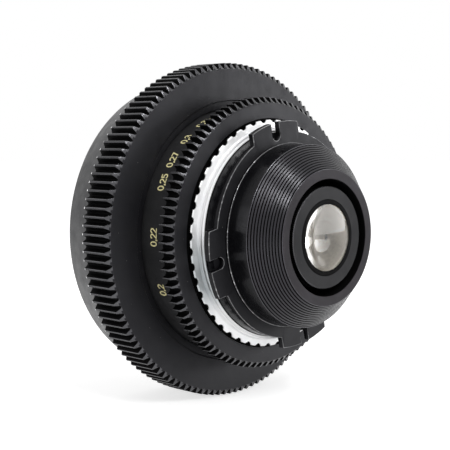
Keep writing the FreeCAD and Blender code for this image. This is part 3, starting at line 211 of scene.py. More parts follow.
def black_metal(name, dark, light, gloss, facing, grain=0.25, dust=0.1, shine=0.15, brushed=0.0):
    """Blackened metal: patchy tone, fine grain, faint turning marks, smears and a little dust."""
    shade = Shade(name)
    patch = shade.noise(90, 4.0, 0.6)
    tone = shade.mix(shade.range(patch, 0.35, 0.65, 0.0, 1.0), dark, light)
    lint = shade.specks(700, 0.045, dust)
    tone = shade.mix(lint, tone, LINT_GREY)
    smear = shade.noise(260, 3.0, 0.6)
    rough = shade.range(smear, 0.3, 0.7, gloss - 0.05, gloss + 0.07)
    rough = shade.math("ADD", rough, shade.math("MULTIPLY", lint, 0.3))
    fine = shade.noise(5200, 2.0, 0.6)
    normal = shade.bump(fine, grain, 0.00003)
    lines = shade.turning_marks(facing, BLACK_MARKS_PITCH)
    broken = shade.math("MULTIPLY", lines, shade.noise(1400, 2.0))
    normal = shade.bump(broken, 0.25, 0.00002, normal)
    return shade.finish(
        Base_Color=tone, Roughness=rough, Normal=normal, Specular_IOR_Level=shine,
        Specular_Tint=COOL_SHEEN, **shade.lathe_sheen(brushed))


def bare_metal(name, base, warm, gloss, facing, metal=1.0, painted_reflection=0.0):
    """Machined metal with turning marks that catch the light, and a painted darker reflection on one side."""
    shade = Shade(name)
    patch = shade.noise(120, 4.0, 0.6)
    tone = shade.mix(shade.range(patch, 0.3, 0.7, 0.0, 1.0), base, warm)
    # Painted reflection: blend towards a darker blue-grey on one side of the ring
    if painted_reflection:
        reflection_share = shade.range(shade.turn, *PAINTED_REFLECTION_STARTS, 0.0, painted_reflection, smooth=True)
        reflection_share = shade.math("MULTIPLY", reflection_share, shade.range(shade.turn, *PAINTED_REFLECTION_ENDS, 1.0, 0.0, smooth=True))
        tone = shade.mix(reflection_share, tone, PAINTED_REFLECTION_GREY)
    lines = shade.turning_marks(facing, BARE_MARKS_PITCH)
    streak = shade.noise(900, 2.0)
    rough = shade.range(shade.math("MULTIPLY", lines, streak), 0.0, 0.7, gloss - 0.05, gloss + 0.1)
    normal = shade.bump(lines, 0.15, 0.00002)
    return shade.finish(Base_Color=tone, Roughness=rough, Metallic=metal, Normal=normal)


def worn_edge_and_glint(name, dark, bright, start):
    """The eased edges of black parts, rubbed through to bright metal in places, on a grey far lighter than
    the black body: a painted highlight along the edge.
    """
    shade = Shade(name)
    rub_and_glint = shade.noise(700, 4.0, 0.7)
    wear_and_glint = shade.range(rub_and_glint, start, start + 0.2, 0.0, 1.0)
    tone = shade.mix(wear_and_glint, dark, bright)
    rough = shade.range(wear_and_glint, 0.0, 1.0, 0.4, 0.3)
    metal = shade.range(wear_and_glint, 0.0, 1.0, 0.0, 1.0)
    return shade.finish(Base_Color=tone, Roughness=rough, Metallic=metal)


def optical_glass(name, tint, ior, coat):
    """Clear glass with a trace of haze. The coat is the share of its reflections that is left."""
    shade = Shade(name)
    haze = shade.noise(300, 3.0)
    rough = shade.range(haze, 0.4, 0.9, 0.0, 0.003)
    tone = shade.mix(shade.noise(60, 2.0), tint, tuple(min(1.0, value * 1.02) for value in tint))
    return shade.finish(
        Base_Color=tone, Roughness=rough, Transmission_Weight=1.0, IOR=ior,
        Specular_Tint=(coat, coat, coat))


def paint(name, base, shadow):
    """Paint that fills an engraved mark, a little uneven."""
    shade = Shade(name)
    tone = shade.mix(shade.range(shade.noise(2600, 3.0), 0.35, 0.6, 0.0, 1.0), shadow, base)
    normal = shade.bump(shade.noise(6000, 2.0), 0.3, 0.00003)
    return shade.finish(Base_Color=tone, Roughness=0.55, Normal=normal)


RING_BLACK = black_metal(
    "ring_black", (0.005, 0.005, 0.006), (0.01, 0.01, 0.011), 0.36, "side", shine=0.22)
RING_FACE = black_metal(
    "ring_face", (0.003, 0.003, 0.004), (0.006, 0.006, 0.007), 0.42, "face",
    dust=0.2, shine=0.28, brushed=0.85)
MOUNT_BLACK = black_metal(
    "mount_black", (0.004, 0.004, 0.005), (0.008, 0.008, 0.009), 0.17, "side", grain=0.08)
MOUNT_FACE = black_metal(
    "mount_face", (0.004, 0.004, 0.005), (0.008, 0.008, 0.009), 0.42, "face",
    grain=0.1, shine=0.2, brushed=0.85)
BAND_BLACK = black_metal(
    "band_black", (0.02, 0.02, 0.021), (0.03, 0.03, 0.031), 0.45, "side",
    grain=0.2, dust=0.05, shine=0.3)
CONE_BLACK = black_metal(
    "cone_black", (0.008, 0.007, 0.009), (0.013, 0.012, 0.015), 0.27, "face",
    grain=0.1, dust=0.04, shine=0.4)
# Near-black painted shade for the grooves between the cone's ribs
CONE_GROOVE_SHADE = black_metal(
    "cone_groove_shade", (0.001, 0.001, 0.001), (0.002, 0.002, 0.002), 0.5, "side",
    grain=0.1, dust=0.0, shine=0.03)
CONE_GLINT = black_metal(
    "cone_glint", (0.015, 0.014, 0.017), (0.03, 0.028, 0.034), 0.22, "face",
    grain=0.1, dust=0.0, shine=0.7)
CONE_FACE = black_metal(
    "cone_face", (0.016, 0.014, 0.016), (0.024, 0.021, 0.025), 0.42, "face",
    grain=0.2, dust=0.1, shine=0.12, brushed=0.6)
CELL_BLACK = black_metal(
    "cell_black", (0.017, 0.017, 0.018), (0.024, 0.024, 0.025), 0.5, "face",
    grain=0.4, dust=0.12, shine=0.1, brushed=0.6)
BEVEL_BLACK = black_metal(
    "bevel_black", (0.002, 0.002, 0.002), (0.005, 0.005, 0.005), 0.55, "face",
    grain=0.1, dust=0.0, shine=0.03)
KNURL_BLACK = black_metal(
    "knurl_black", (0.01, 0.01, 0.01), (0.03, 0.03, 0.03), 0.15, "side",
    grain=0.1, dust=0.0, shine=0.9)
# Near-black painted shade for the front and outer wall of the silver ring
GRIP_SIDE_SHADE = black_metal(
    "grip_side_shade", (0.002, 0.002, 0.002), (0.004, 0.004, 0.004), 0.4, "side",
    grain=0.1, dust=0.0, shine=0.05)
# Matte black of the inner parts, also used as a painted shade in gear gaps, the grip groove and nodes deep in
# shadow
BLACK_AND_PAINTED_SHADE = black_metal(
    "inner_black_and_shade", (0.001, 0.001, 0.001), (0.003, 0.003, 0.003), 0.6, "side",
    grain=0.2, dust=0.0, shine=0.04)
SCREW_BLACK = black_metal("screw_black", (0.02, 0.02, 0.022), (0.03, 0.03, 0.033), 0.35, "face")
LEAF_BLACK = black_metal("leaf_black", (0.01, 0.01, 0.011), (0.02, 0.02, 0.023), 0.4, "face")
TOOTH_EDGE = black_metal(
    "tooth_edge", (0.012, 0.012, 0.013), (0.04, 0.04, 0.041), 0.26, "side",
    grain=0.1, dust=0.0, shine=0.8)
# Edge finishes: rubbed metal with a painted highlight, and a painted glint on the tooth corners
EDGE_WORN_GLINT = worn_edge_and_glint("edge_worn_glint", (0.2, 0.2, 0.21), (0.85, 0.85, 0.86), 0.36)
EDGE_FINE_HIGHLIGHT = worn_edge_and_glint("edge_fine_highlight", (0.12, 0.12, 0.125), (0.55, 0.55, 0.57), 0.5)
# The silver ring carries a painted darker reflection on its left side, as seen from the rear.
GRIP_SILVER = bare_metal(
    "grip_silver", (0.95, 0.955, 0.97), (0.98, 0.98, 0.98), 0.4, "face", metal=0.4, painted_reflection=0.6)
BARE_ALUMINIUM = bare_metal("bare_aluminium", (0.66, 0.67, 0.68), (0.72, 0.72, 0.72), 0.3, "side")
BARE_BRASS = bare_metal("bare_brass", (0.62, 0.44, 0.18), (0.74, 0.55, 0.27), 0.28, "side")
BARE_STEEL = bare_metal("bare_steel", (0.5, 0.5, 0.51), (0.58, 0.58, 0.58), 0.25, "side")
GROUND_EDGE = paint("ground_edge", (0.82, 0.77, 0.68), (0.66, 0.61, 0.53))
GLASS_FRONT = optical_glass("glass_front", (0.97, 0.98, 0.97), 1.52, 0.0)
GLASS_REAR = optical_glass("glass_rear", (1.0, 0.975, 0.945), 1.75, 0.3)
SCALE_YELLOW = paint("scale_yellow", (1.0, 0.92, 0.5), (0.92, 0.83, 0.42))
MARK_WHITE = paint("mark_white", (0.8, 0.8, 0.78), (0.6, 0.6, 0.58))

SLOT_MATERIALS = {
    "black_anodised": RING_BLACK,
    "black_matte_metal": BLACK_AND_PAINTED_SHADE,
    "black_satin_metal": MOUNT_BLACK,
    "silver_anodised": GRIP_SILVER,
    "bare_aluminium": BARE_ALUMINIUM,
    "bare_brass": BARE_BRASS,
    "bare_steel": BARE_STEEL,
    "black_steel": SCREW_BLACK,
    "coated_glass": GLASS_REAR,
}
# Nodes deep in the gaps, given near-black as a painted shade
PAINTED_SHADE_NODES = ("mount_shim", "optical_barrel", "rear_cell_screws", "fixed_barrel")


def cad_finish(name, slot):
    """The leaves have a finish of their own, and the nodes that lie deep in shadow get a near-black painted
    shade.
    """
    if name.startswith("iris_blade"):
        return LEAF_BLACK
    return BLACK_AND_PAINTED_SHADE if name in PAINTED_SHADE_NODES else SLOT_MATERIALS[slot]


def dress_cad_nodes():
    """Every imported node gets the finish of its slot, for where no skin replaces it."""
    slots = {part["node"]: part["material_slot"] for part in frame["record"]["subparts"]}
    for name, item in frame["nodes"].items():
        item.data.materials.clear()
        item.data.materials.append(cad_finish(name, slots[name]))


dress_cad_nodes()


# Mesh helpers: skins that run round the optical axis

SMOOTH_ANGLE = math.radians(28)
WELD_DISTANCE = 0.2e-6
STRAIGHT_ANGLE = math.radians(160)
EASE_LIMIT = 0.4
EASE_BULGE = 0.45


def on_circle(radius, angle, y):
    return (-radius * math.sin(angle), y, radius * math.cos(angle))


def circle(radius, y, angles):
    return [on_circle(radius, angle, y) for angle in angles]


def even_angles(count):
    return [2 * math.pi * index / count for index in range(count)]


def body_of_node(node):
    for body, members in frame["record"]["behaviour"]["bodies"].items():
        if node in members:
            return body
    raise ValueError(node)


def mesh_from(name, points, faces, materials):
    """A mesh from points in millimetres."""
    mesh = bpy.data.meshes.new(name)
    mesh.from_pydata([tuple(value * MM for value in point) for point in points], [], faces)
    for material in materials:
        mesh.materials.append(material)
    return mesh


def place_on(name, mesh, body):
    """An object of the mesh that rides on a body."""
    item = bpy.data.objects.new(name, mesh)
    bpy.context.scene.collection.objects.link(item)
    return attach(item, body)


def skin(node, loops, materials, closed=True, slots=None, face_slots=None):
    """One mesh from loops of points round the axis. Each loop is joined to the next, and the
    last to the first if closed. The piece stands for the node and rides on its body.
    slots gives the material of each strip between two loops, or face_slots of each face."""
    name = node + "_skin"
    count = len(loops[0])
    faces = []
    strips = len(loops) if closed else len(loops) - 1
    for strip in range(strips):
        near, far = strip * count, (strip + 1) % len(loops) * count
        for index in range(count):
            after = (index + 1) % count
            faces.append((near + index, near + after, far + after, far + index))
    mesh = mesh_from(name, [point for loop in loops for point in loop], faces, materials)
    if slots:
        face_slots = [slots[index // count] for index in range(len(faces))]
    if face_slots:
        mesh.polygons.foreach_set("material_index", face_slots)
    welded = bmesh.new()
    welded.from_mesh(mesh)
    bmesh.ops.remove_doubles(welded, verts=welded.verts, dist=WELD_DISTANCE)
    bmesh.ops.recalc_face_normals(welded, faces=welded.faces)
    welded.to_mesh(mesh)
    welded.free()
    mesh.polygons.foreach_set("use_smooth", [True] * len(mesh.polygons))
    mesh.set_sharp_from_angle(angle=SMOOTH_ANGLE)
    item = place_on(name, mesh, body_of_node(node))
    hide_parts(node)
    return item


def eased(profile, ease):
    """A closed outline of (radius, y) with each sharp corner rounded by a small arc."""
    result = []
    count = len(profile)
    for index, corner in enumerate(profile):
        here = Vector(corner)
        before = Vector(profile[index - 1]) - here
        after = Vector(profile[(index + 1) % count]) - here
        reach = min(ease, before.length * EASE_LIMIT, after.length * EASE_LIMIT)
        if before.angle(after) > STRAIGHT_ANGLE:
            result.append(corner)
            continue
        start = here + before.normalized() * reach
        end = here + after.normalized() * reach
        middle = (start + end) / 2 + (here - (start + end) / 2) * EASE_BULGE
        result += [tuple(start), tuple(middle), tuple(end)]
    return result


def lathe(node, profile, materials, ease=0.1, segments=360, pick=None):
    """A turned piece. pick chooses a material number from the middle of a strip."""
    outline = eased(profile, ease) if ease else profile
    angles = even_angles(segments)
    loops = [circle(radius, y, angles) for radius, y in outline]
    slots = None
    if pick:
        slots = []
        for index, (radius, y) in enumerate(outline):
            next_radius, next_y = outline[(index + 1) % len(outline)]
            middle = (radius + next_radius) / 2, (y + next_y) / 2
            slots.append(pick(*middle, next_radius - radius, next_y - y))
    return skin(node, loops, materials, slots=slots)


def flat_or_side(radius, y, radius_step, y_step):
    """Material 1 on faces that look along the axis, and 0 on walls."""
    return 1 if abs(radius_step) > abs(y_step) else 0


# Geared rings

GEAR_MODULE = 0.8
GEAR_PITCH = GEAR_MODULE * math.pi
TOOTH_DEPTH = 1.8
TOOTH_LAND = 0.55
TOOTH_EASE = 0.07
FLANK_SHARES = (0.04, 0.14, 0.32, 0.62)
LAND_MARGIN = 0.02


def gear_loop(teeth, gap, height, y, inset=0.0):
    """One section of a toothed ring. A gap is (width at the floor, height of its round floor),
    and height runs from 0 at the root to 1 at the tips."""
    floor, bowl = gap
    tip = GEAR_MODULE * (teeth + 2) / 2
    root = tip - TOOTH_DEPTH
    mouth = GEAR_PITCH - TOOTH_LAND
    top = max(root + TOOTH_DEPTH * height - inset, root)

    def half_width(radius):
        """Half of the gap's width: a round floor that runs into sloping sides."""
        rise = max(radius - root, 0.0)
        side = (floor + (mouth - floor) * rise / TOOTH_DEPTH) / 2
        if rise < bowl:
            side *= math.sqrt(1 - (1 - rise / bowl) ** 2)
        return side + inset

    ease = min(TOOTH_EASE, (top - root) / 3)
    flank_top = top - ease
    half = [(0.0, root)]
    for share in FLANK_SHARES:
        radius = root + (flank_top - root) * share
        half.append((half_width(radius), radius))
    half += [
        (half_width(flank_top), flank_top),
        (half_width(top) + ease * 0.3, top - ease * 0.3),
        (half_width(top) + ease, top),
        (GEAR_PITCH / 2 - LAND_MARGIN, top),
    ]
    offsets = half + [(GEAR_PITCH - across, radius) for across, radius in reversed(half[1:])]
    points = []
    for tooth in range(teeth):
        centre = 2 * math.pi * tooth / teeth
        for across, radius in offsets:
            angle = centre + across / (root + TOOTH_DEPTH / 2)
            points.append(on_circle(radius, angle, y))
    return points


def gear_angles(teeth):
    """The angles of a gear section's points, for the plain loops that join it."""
    return [math.atan2(-x, z) for x, y, z in gear_loop(teeth, (0.8, 0.4), 1.0, 0.0)]


# Columns are the strips of faces along a tooth, counted from the middle of the gap before it.
COLUMNS_PER_TOOTH = 17
TOP_COLUMNS = range(5, 11)
EASED_COLUMNS = (5, 6, 9, 10)
FRONT_CORNERS = -33.0

# Materials of a geared ring, and their numbers
GEAR_MATERIALS = [RING_BLACK, RING_FACE, TOOTH_EDGE, EDGE_WORN_GLINT, BLACK_AND_PAINTED_SHADE, EDGE_FINE_HIGHLIGHT, BAND_BLACK]
WALL, FACE, EDGE, WORN_GLINT, PAINTED_SHADE, GLINT, BAND = range(len(GEAR_MATERIALS))


def tooth_pick(column, near, far):
    """The material of a face between two stations: the gaps carry a near-black painted shade,
    the front corners are rubbed bright metal with a painted glint, and the other edges of a
    tooth shine a little."""
    if column not in TOP_COLUMNS:
        return PAINTED_SHADE
    if near[0] < FRONT_CORNERS and near[1] > 0.9:
        return WORN_GLINT
    rises_to_rear = far[1] > 0.3 and far[1] > near[1]
    return EDGE if rises_to_rear or column in EASED_COLUMNS else WALL


def geared_skin(node, teeth, gap, stations, rest_of_ring, ends, pick=flat_or_side):
    """A geared ring. Stations are (y, height, inset) from rear to front. The rest of the ring
    is a plain outline of (radius, y), from the front of the teeth back to their rear. The ends
    are the materials just in front of the teeth and just behind them."""
    angles = gear_angles(teeth)
    loops = [gear_loop(teeth, gap, height, y, inset) for y, height, inset in stations]
    loops += [circle(radius, y, angles) for radius, y in rest_of_ring]
    slots = []
    for near, far in zip(stations, stations[1:]):
        slots += [tooth_pick(index % COLUMNS_PER_TOOTH, near, far) for index in range(len(angles))]
    slots += [ends[0]] * len(angles)
    for (radius, y), (next_radius, next_y) in zip(rest_of_ring, rest_of_ring[1:]):
        slots += [pick(radius, y, next_radius - radius, next_y - y)] * len(angles)
    slots += [ends[1]] * len(angles)
    return skin(node, loops, GEAR_MATERIALS, face_slots=slots)


FOCUS_TEETH = 101
FOCUS_GAP = (1.5, 0.85)
FOCUS_FRONT, FOCUS_REAR = node_span("focus_gear_ring")
FOCUS_TEETH_FRONT = -13.07
FOCUS_BAND_RADIUS = 37.8
BARREL_BORE = 31.06
BEARING_RADIUS = 32.1
BEARING_FRONT = -10.05
NUT_RADIUS = node_radius("helicoid_nut")
NUT_REAR = node_span("helicoid_nut")[1]
GROOVE_INSIDE = 33.5
GROOVE_OUTSIDE = 34.8
GROOVE_FLOOR = -8.5


def focus_face_pick(radius, y, radius_step, y_step):
    """The groove round the grip ring carries a near-black painted shade, with a fine bright
    edge of rubbed metal and painted highlight.
    """
    if radius == FOCUS_BAND_RADIUS:
        return BAND
    if GROOVE_INSIDE <= radius < GROOVE_OUTSIDE:
        return PAINTED_SHADE
    return GLINT if radius == GROOVE_OUTSIDE else flat_or_side(radius, y, radius_step, y_step)


def make_focus_gear_ring():
    stations = [
        (-8.3, 0.0, 0.0), (-8.47, 0.1, 0.0), (-8.71, 0.25, 0.0), (-9.13, 0.5, 0.0),
        (-9.88, 0.96, 0.0), (-9.98, 1.0, 0.0), (-12.98, 1.0, 0.0), (FOCUS_TEETH_FRONT, 1.0, 0.09),
    ]
    rest_of_ring = [
        (FOCUS_BAND_RADIUS, FOCUS_TEETH_FRONT), (FOCUS_BAND_RADIUS, FOCUS_FRONT + 0.1),
        (FOCUS_BAND_RADIUS - 0.1, FOCUS_FRONT), (NUT_RADIUS, FOCUS_FRONT), (NUT_RADIUS, NUT_REAR),
        (BARREL_BORE, NUT_REAR), (BARREL_BORE, BEARING_FRONT), (BEARING_RADIUS, BEARING_FRONT),
        (BEARING_RADIUS, FOCUS_REAR - 0.1), (BEARING_RADIUS + 0.1, FOCUS_REAR),
        (GROOVE_INSIDE, FOCUS_REAR), (GROOVE_INSIDE, GROOVE_FLOOR),
        (GROOVE_OUTSIDE - 0.02, GROOVE_FLOOR), (GROOVE_OUTSIDE, FOCUS_REAR - 0.07),
        (GROOVE_OUTSIDE + 0.06, FOCUS_REAR), (39.12, FOCUS_REAR), (39.28, FOCUS_REAR - 0.05),
    ]
    geared_skin(
        "focus_gear_ring", FOCUS_TEETH, FOCUS_GAP, stations, rest_of_ring, (FACE, FACE), focus_face_pick)


APERTURE_TEETH = 128
APERTURE_GAP = (0.66, 0.4)
APERTURE_FRONT, APERTURE_REAR = node_span("aperture_gear_ring")
TAPER_REAR = (50.0, -34.32)
TAPER_FRONT = (46.22, -47.2)
APERTURE_BORE = 39.06
SKIRT_BORE = 40.5
SKIRT_FLOOR = -30.1
FRONT_RECESS_RADIUS = 42.3
FRONT_RECESS_FLOOR = -43.0


def make_aperture_gear_ring():
    stations = [
        (-23.06, 0.0, 0.0), (-23.18, 0.12, 0.0), (-23.31, 0.25, 0.0), (-23.56, 0.5, 0.0),
        (-24.02, 0.95, 0.0), (-24.14, 1.0, 0.0), (-33.4, 1.0, 0.0), (-33.66, 1.0, 0.0),
        (-34.0, 0.5, 0.0), (-34.2, 0.15, 0.0), (-34.3, 0.0, 0.0),
    ]
    rest_of_ring = [
        TAPER_REAR, TAPER_FRONT, (46.1, -47.45), (45.9, -47.65), (45.7, APERTURE_FRONT),
        (FRONT_RECESS_RADIUS + 0.1, APERTURE_FRONT), (FRONT_RECESS_RADIUS, APERTURE_FRONT + 0.1),
        (FRONT_RECESS_RADIUS, FRONT_RECESS_FLOOR), (APERTURE_BORE, FRONT_RECESS_FLOOR),
        (APERTURE_BORE, SKIRT_FLOOR), (SKIRT_BORE, SKIRT_FLOOR), (SKIRT_BORE, APERTURE_REAR - 0.1),
        (SKIRT_BORE + 0.1, APERTURE_REAR), (50.05, APERTURE_REAR),
    ]
    geared_skin(
        "aperture_gear_ring", APERTURE_TEETH, APERTURE_GAP, stations, rest_of_ring, (WALL, FACE))


make_focus_gear_ring()
make_aperture_gear_ring()


# Silver grip ring with its scalloped rim

GRIP_FRONT, GRIP_REAR = node_span("focus_grip_ring")
GRIP_RADIUS = node_radius("focus_grip_ring")
GRIP_NOTCHES = 49
NOTCH_RADIUS = 1.25
NOTCH_CENTRE = 34.75
NOTCH_MARGIN = 0.12
NOTCH_STEPS = 14
LAND_STEPS = 6


def scalloped(radius, y, inset):
    """A circle of the grip ring with the notches that reach it."""
    points = []
    pitch = 2 * math.pi / GRIP_NOTCHES
    reach = math.asin((NOTCH_RADIUS + NOTCH_MARGIN) / NOTCH_CENTRE)
    hollow = NOTCH_RADIUS + inset
    for notch in range(GRIP_NOTCHES):
        for index in range(NOTCH_STEPS + LAND_STEPS):
            if index <= NOTCH_STEPS:
                offset = (-1 + 2 * index / NOTCH_STEPS) * reach
            else:
                offset = reach + (pitch - 2 * reach) * (index - NOTCH_STEPS) / LAND_STEPS
            across = NOTCH_CENTRE * math.sin(offset)
            depth = radius - inset
            if abs(across) < hollow:
                floor = NOTCH_CENTRE * math.cos(offset) - math.sqrt(hollow ** 2 - across ** 2)
                depth = min(depth, floor)
            points.append(on_circle(depth, pitch * notch + offset, y))
    return points


def make_grip_ring():
    angles = [math.atan2(-x, z) for x, y, z in scalloped(NOTCH_CENTRE * 2, 0.0, 0.0)]
    rim = [
        scalloped(GRIP_RADIUS, GRIP_FRONT, 0.06),
        scalloped(GRIP_RADIUS, GRIP_FRONT + 0.06, 0.0),
        scalloped(GRIP_RADIUS, -7.22, 0.0),
        scalloped(34.3, -7.15, 0.0),
        scalloped(34.05, -6.9, 0.0),
    ]
    steps = [
        (33.45, -6.8), (32.35, -6.63), (32.25, -6.8), (32.15, -6.6), (32.15, -6.25), (32.08, -6.2),
        (32.15, -6.15), (32.15, -5.65), (32.05, -5.42), (31.85, -5.35), (31.6, -5.35),
        (31.55, -5.5), (31.42, -5.25), (31.26, GRIP_REAR - 0.03), (BARREL_BORE, GRIP_REAR),
    ]
    loops = [circle(BARREL_BORE, GRIP_FRONT, angles)] + rim
    loops += [circle(radius, y, angles) for radius, y in steps]
    # The ring's front and outer wall get the near-black painted shade; its rear face and steps are silver.
    slots = [1, 1, 1] + [0] * (len(loops) - 3)
    skin("focus_grip_ring", loops, [GRIP_SILVER, GRIP_SIDE_SHADE], slots=slots)


make_grip_ring()


# Mount flange: four slotted lugs, a low step and the register

FLANGE_FRONT, REGISTER_REAR = node_span("mount_flange")
REGISTER_RADIUS = node_radius("rear_cone")
REGISTER_BORE = 24.0
STEP_RADIUS = 27.5
STEP_REAR = 0.7
FLANGE_RADIUS = 30.9
LUG_RADIUS = node_radius("mount_flange")
LUG_FRONT = -1.9
LUG_CLOCK = (-102.0, -12.0, 78.0, 168.0)
LUG_HALF_WIDTH = 9.85
LUG_FOOT = math.asin(LUG_HALF_WIDTH / FLANGE_RADIUS)
LUG_TIP = math.asin(LUG_HALF_WIDTH / LUG_RADIUS)
LUG_EASE = 0.16
SLOT_HALF = 1.7
SLOT_CENTRE = 30.35
ARC_STEPS = 24
SLOT_STEPS = 16
GAP_STEPS = 12


def lug_plan():
    """The points of one lug sector, each as (kind, share, side), from one gap to the next."""
    plan = [("gap", index / GAP_STEPS, 0) for index in range(GAP_STEPS + 1)]
    plan += [("side", share, -1) for share in (0.0, 0.5, 1.0)]
    plan += [("arc", index / ARC_STEPS, -1) for index in range(ARC_STEPS + 1)]
    plan += [("wall", share, -1) for share in (0.35, 0.7)]
    plan += [("floor", index / SLOT_STEPS, 0) for index in range(SLOT_STEPS + 1)]
    plan += [("wall", share, 1) for share in (0.7, 0.35)]
    plan += [("arc", 1 - index / ARC_STEPS, 1) for index in range(ARC_STEPS + 1)]
    plan += [("side", share, 1) for share in (1.0, 0.5, 0.0)]
    return plan


def gap_angle(middle, share):
    """A place in the gap before a lug, from the foot of the last lug to the foot of this one."""
    start = middle - math.radians(90) + LUG_FOOT
    return start + (middle - LUG_FOOT - start) * share


def lug_outline(y, inset):
    points = []
    low, high = FLANGE_RADIUS - inset, LUG_RADIUS - inset
    wall = SLOT_HALF + inset
    mouth = math.asin(wall / high)
    corner = math.asin((LUG_HALF_WIDTH - inset) / high)
    for clock in LUG_CLOCK:
        middle = math.radians(clock)
        for kind, share, side in lug_plan():
            if kind == "gap":
                radius, angle = low, gap_angle(middle, share)
            elif kind == "side":
                radius = low + (high - low) * share
                across = LUG_HALF_WIDTH - (inset if share > 0 else 0)
                angle = middle + side * math.asin(across / radius)
            elif kind == "arc":
                radius, angle = high, middle + side * (corner + (mouth - corner) * share)
            else:
                across, rise = slot_point(kind, share, side, wall, high * math.cos(mouth))
                radius, angle = math.hypot(across, rise), middle + math.atan2(across, rise)
            points.append(on_circle(radius, angle, y))
    return points


def slot_point(kind, share, side, wall, top):
    """A point of a lug's slot, as its distances across and up: two walls and a round floor."""
    if kind == "wall":
        return side * wall, top + (SLOT_CENTRE - top) * share
    bend = math.pi * share
    return -wall * math.cos(bend), SLOT_CENTRE - wall * math.sin(bend)


def lug_circle(radius, y):
    """A plain circle whose points stand opposite those of the lug outline."""
    points = []
    mouth = math.asin(SLOT_HALF / radius)
    for clock in LUG_CLOCK:
        middle = math.radians(clock)
        for kind, share, side in lug_plan():
            if kind == "gap":
                angle = gap_angle(middle, share)
            elif kind == "side":
                angle = middle + side * (LUG_FOOT + (LUG_TIP - LUG_FOOT) * share)
            elif kind == "arc":
                angle = middle + side * (LUG_TIP + (mouth - LUG_TIP) * share)
            elif kind == "wall":
                angle = middle + side * mouth
            else:
                angle = middle + math.asin(-SLOT_HALF * math.cos(math.pi * share) / radius)
            points.append(on_circle(radius, angle, y))
    return points


def make_mount_flange():
    # The eased edges of the flange carry rubbed metal with a painted highlight.
    side, flat, edge = range(3)
    strips = [
        (lug_circle(REGISTER_BORE, FLANGE_FRONT), flat),
        (lug_circle(FLANGE_RADIUS - 0.12, FLANGE_FRONT), side),
        (lug_circle(FLANGE_RADIUS, FLANGE_FRONT + 0.12), side),
        (lug_circle(FLANGE_RADIUS, LUG_FRONT), flat),
        (lug_outline(LUG_FRONT, LUG_EASE), edge),
        (lug_outline(LUG_FRONT + LUG_EASE, 0.0), side),
        (lug_outline(-0.18, 0.0), edge),
        (lug_outline(-0.04, 0.05), edge),
        (lug_outline(0.0, LUG_EASE), flat),
        (lug_circle(STEP_RADIUS, 0.0), side),
        (lug_circle(STEP_RADIUS, STEP_REAR - 0.12), edge),
        (lug_circle(STEP_RADIUS - 0.12, STEP_REAR), flat),
        (lug_circle(REGISTER_RADIUS, STEP_REAR), side),
        (lug_circle(REGISTER_RADIUS, REGISTER_REAR), flat),
        (lug_circle(REGISTER_BORE, REGISTER_REAR), side),
    ]
    loops, slots = zip(*strips)
    skin("mount_flange", loops, [MOUNT_BLACK, MOUNT_FACE, EDGE_FINE_HIGHLIGHT], slots=slots)


make_mount_flange()


# Ribbed cone and the rear cell with its ring

CONE_FRONT, CONE_REAR = node_span("rear_cone")
CONE_RIBS = 12
RIB_FALL = 7.1 / CONE_RIBS
RIB_RISE = 7.3 / CONE_RIBS
GROOVE_START = 0.32
GROOVE_END = 0.58
RIB_START = 0.74
RIB_SECTION = ((GROOVE_START, 0.0), (0.45, 0.25), (GROOVE_END, 0.25), (RIB_START, 0.0))
CONE_RIM_RADIUS = 20.0
CONE_BORE = 17.1
CONE_SEAT_BORE = 21.5
CONE_SEAT_Y = 6.0


def cone_pick(radius, y, radius_step, y_step):
    """Materials 0 to 4 of the cone: ribs, rear face, dark inside, grooves in painted shade and glints."""
    if y > CONE_REAR - 0.1:
        return 4 if radius > CONE_RIM_RADIUS - 0.2 else 1
    if y < REGISTER_REAR + 0.2:
        return 4 if radius > REGISTER_RADIUS - 0.2 else 2
    if radius < CONE_RIM_RADIUS - 0.1:
        return 2
    place = (y - REGISTER_REAR) / RIB_RISE % 1
    if GROOVE_START < place < GROOVE_END:
        return 3
    return 4 if GROOVE_END < place < RIB_START else 0


def make_rear_cone():
    profile = [
        (CONE_SEAT_BORE, CONE_FRONT), (REGISTER_BORE, CONE_FRONT), (REGISTER_BORE, REGISTER_REAR),
        (REGISTER_RADIUS - 0.15, REGISTER_REAR), (REGISTER_RADIUS, REGISTER_REAR + 0.08),
        (REGISTER_RADIUS - 0.15, REGISTER_REAR + 0.2),
    ]
    for rib in range(CONE_RIBS):
        for share, sink in RIB_SECTION:
            place = rib + share
            profile.append((REGISTER_RADIUS - RIB_FALL * place - sink, REGISTER_REAR + RIB_RISE * place))
    profile += [
        (CONE_RIM_RADIUS, CONE_REAR - 0.1), (CONE_RIM_RADIUS - 0.15, CONE_REAR),
        (CONE_BORE + 0.1, CONE_REAR), (CONE_BORE, CONE_REAR - 0.1), (CONE_BORE, CONE_SEAT_Y),
        (CONE_SEAT_BORE, CONE_SEAT_Y),
    ]
    materials = [CONE_BLACK, CONE_FACE, BLACK_AND_PAINTED_SHADE, CONE_GROOVE_SHADE, CONE_GLINT]
    lathe("rear_cone", profile, materials, ease=0, pick=cone_pick)


CELL_TEETH = 150
CELL_FRONT, CELL_REAR = node_span("rear_cell")
CELL_RADIUS = 14.8
CELL_BORE = 11.05
CELL_EYE = 9.9
GLASS_RADIUS = 11.0
CELL_FLANGE_RADIUS = node_radius("rear_cell")
CELL_FLANGE_FRONT = -8.9
CELL_FLANGE_REAR = -7.4


def toothed(radius, depth, y, angles):
    """A circle with fine straight teeth, two points to a tooth."""
    return [on_circle(radius - depth * (index % 2), angle, y) for index, angle in enumerate(angles)]


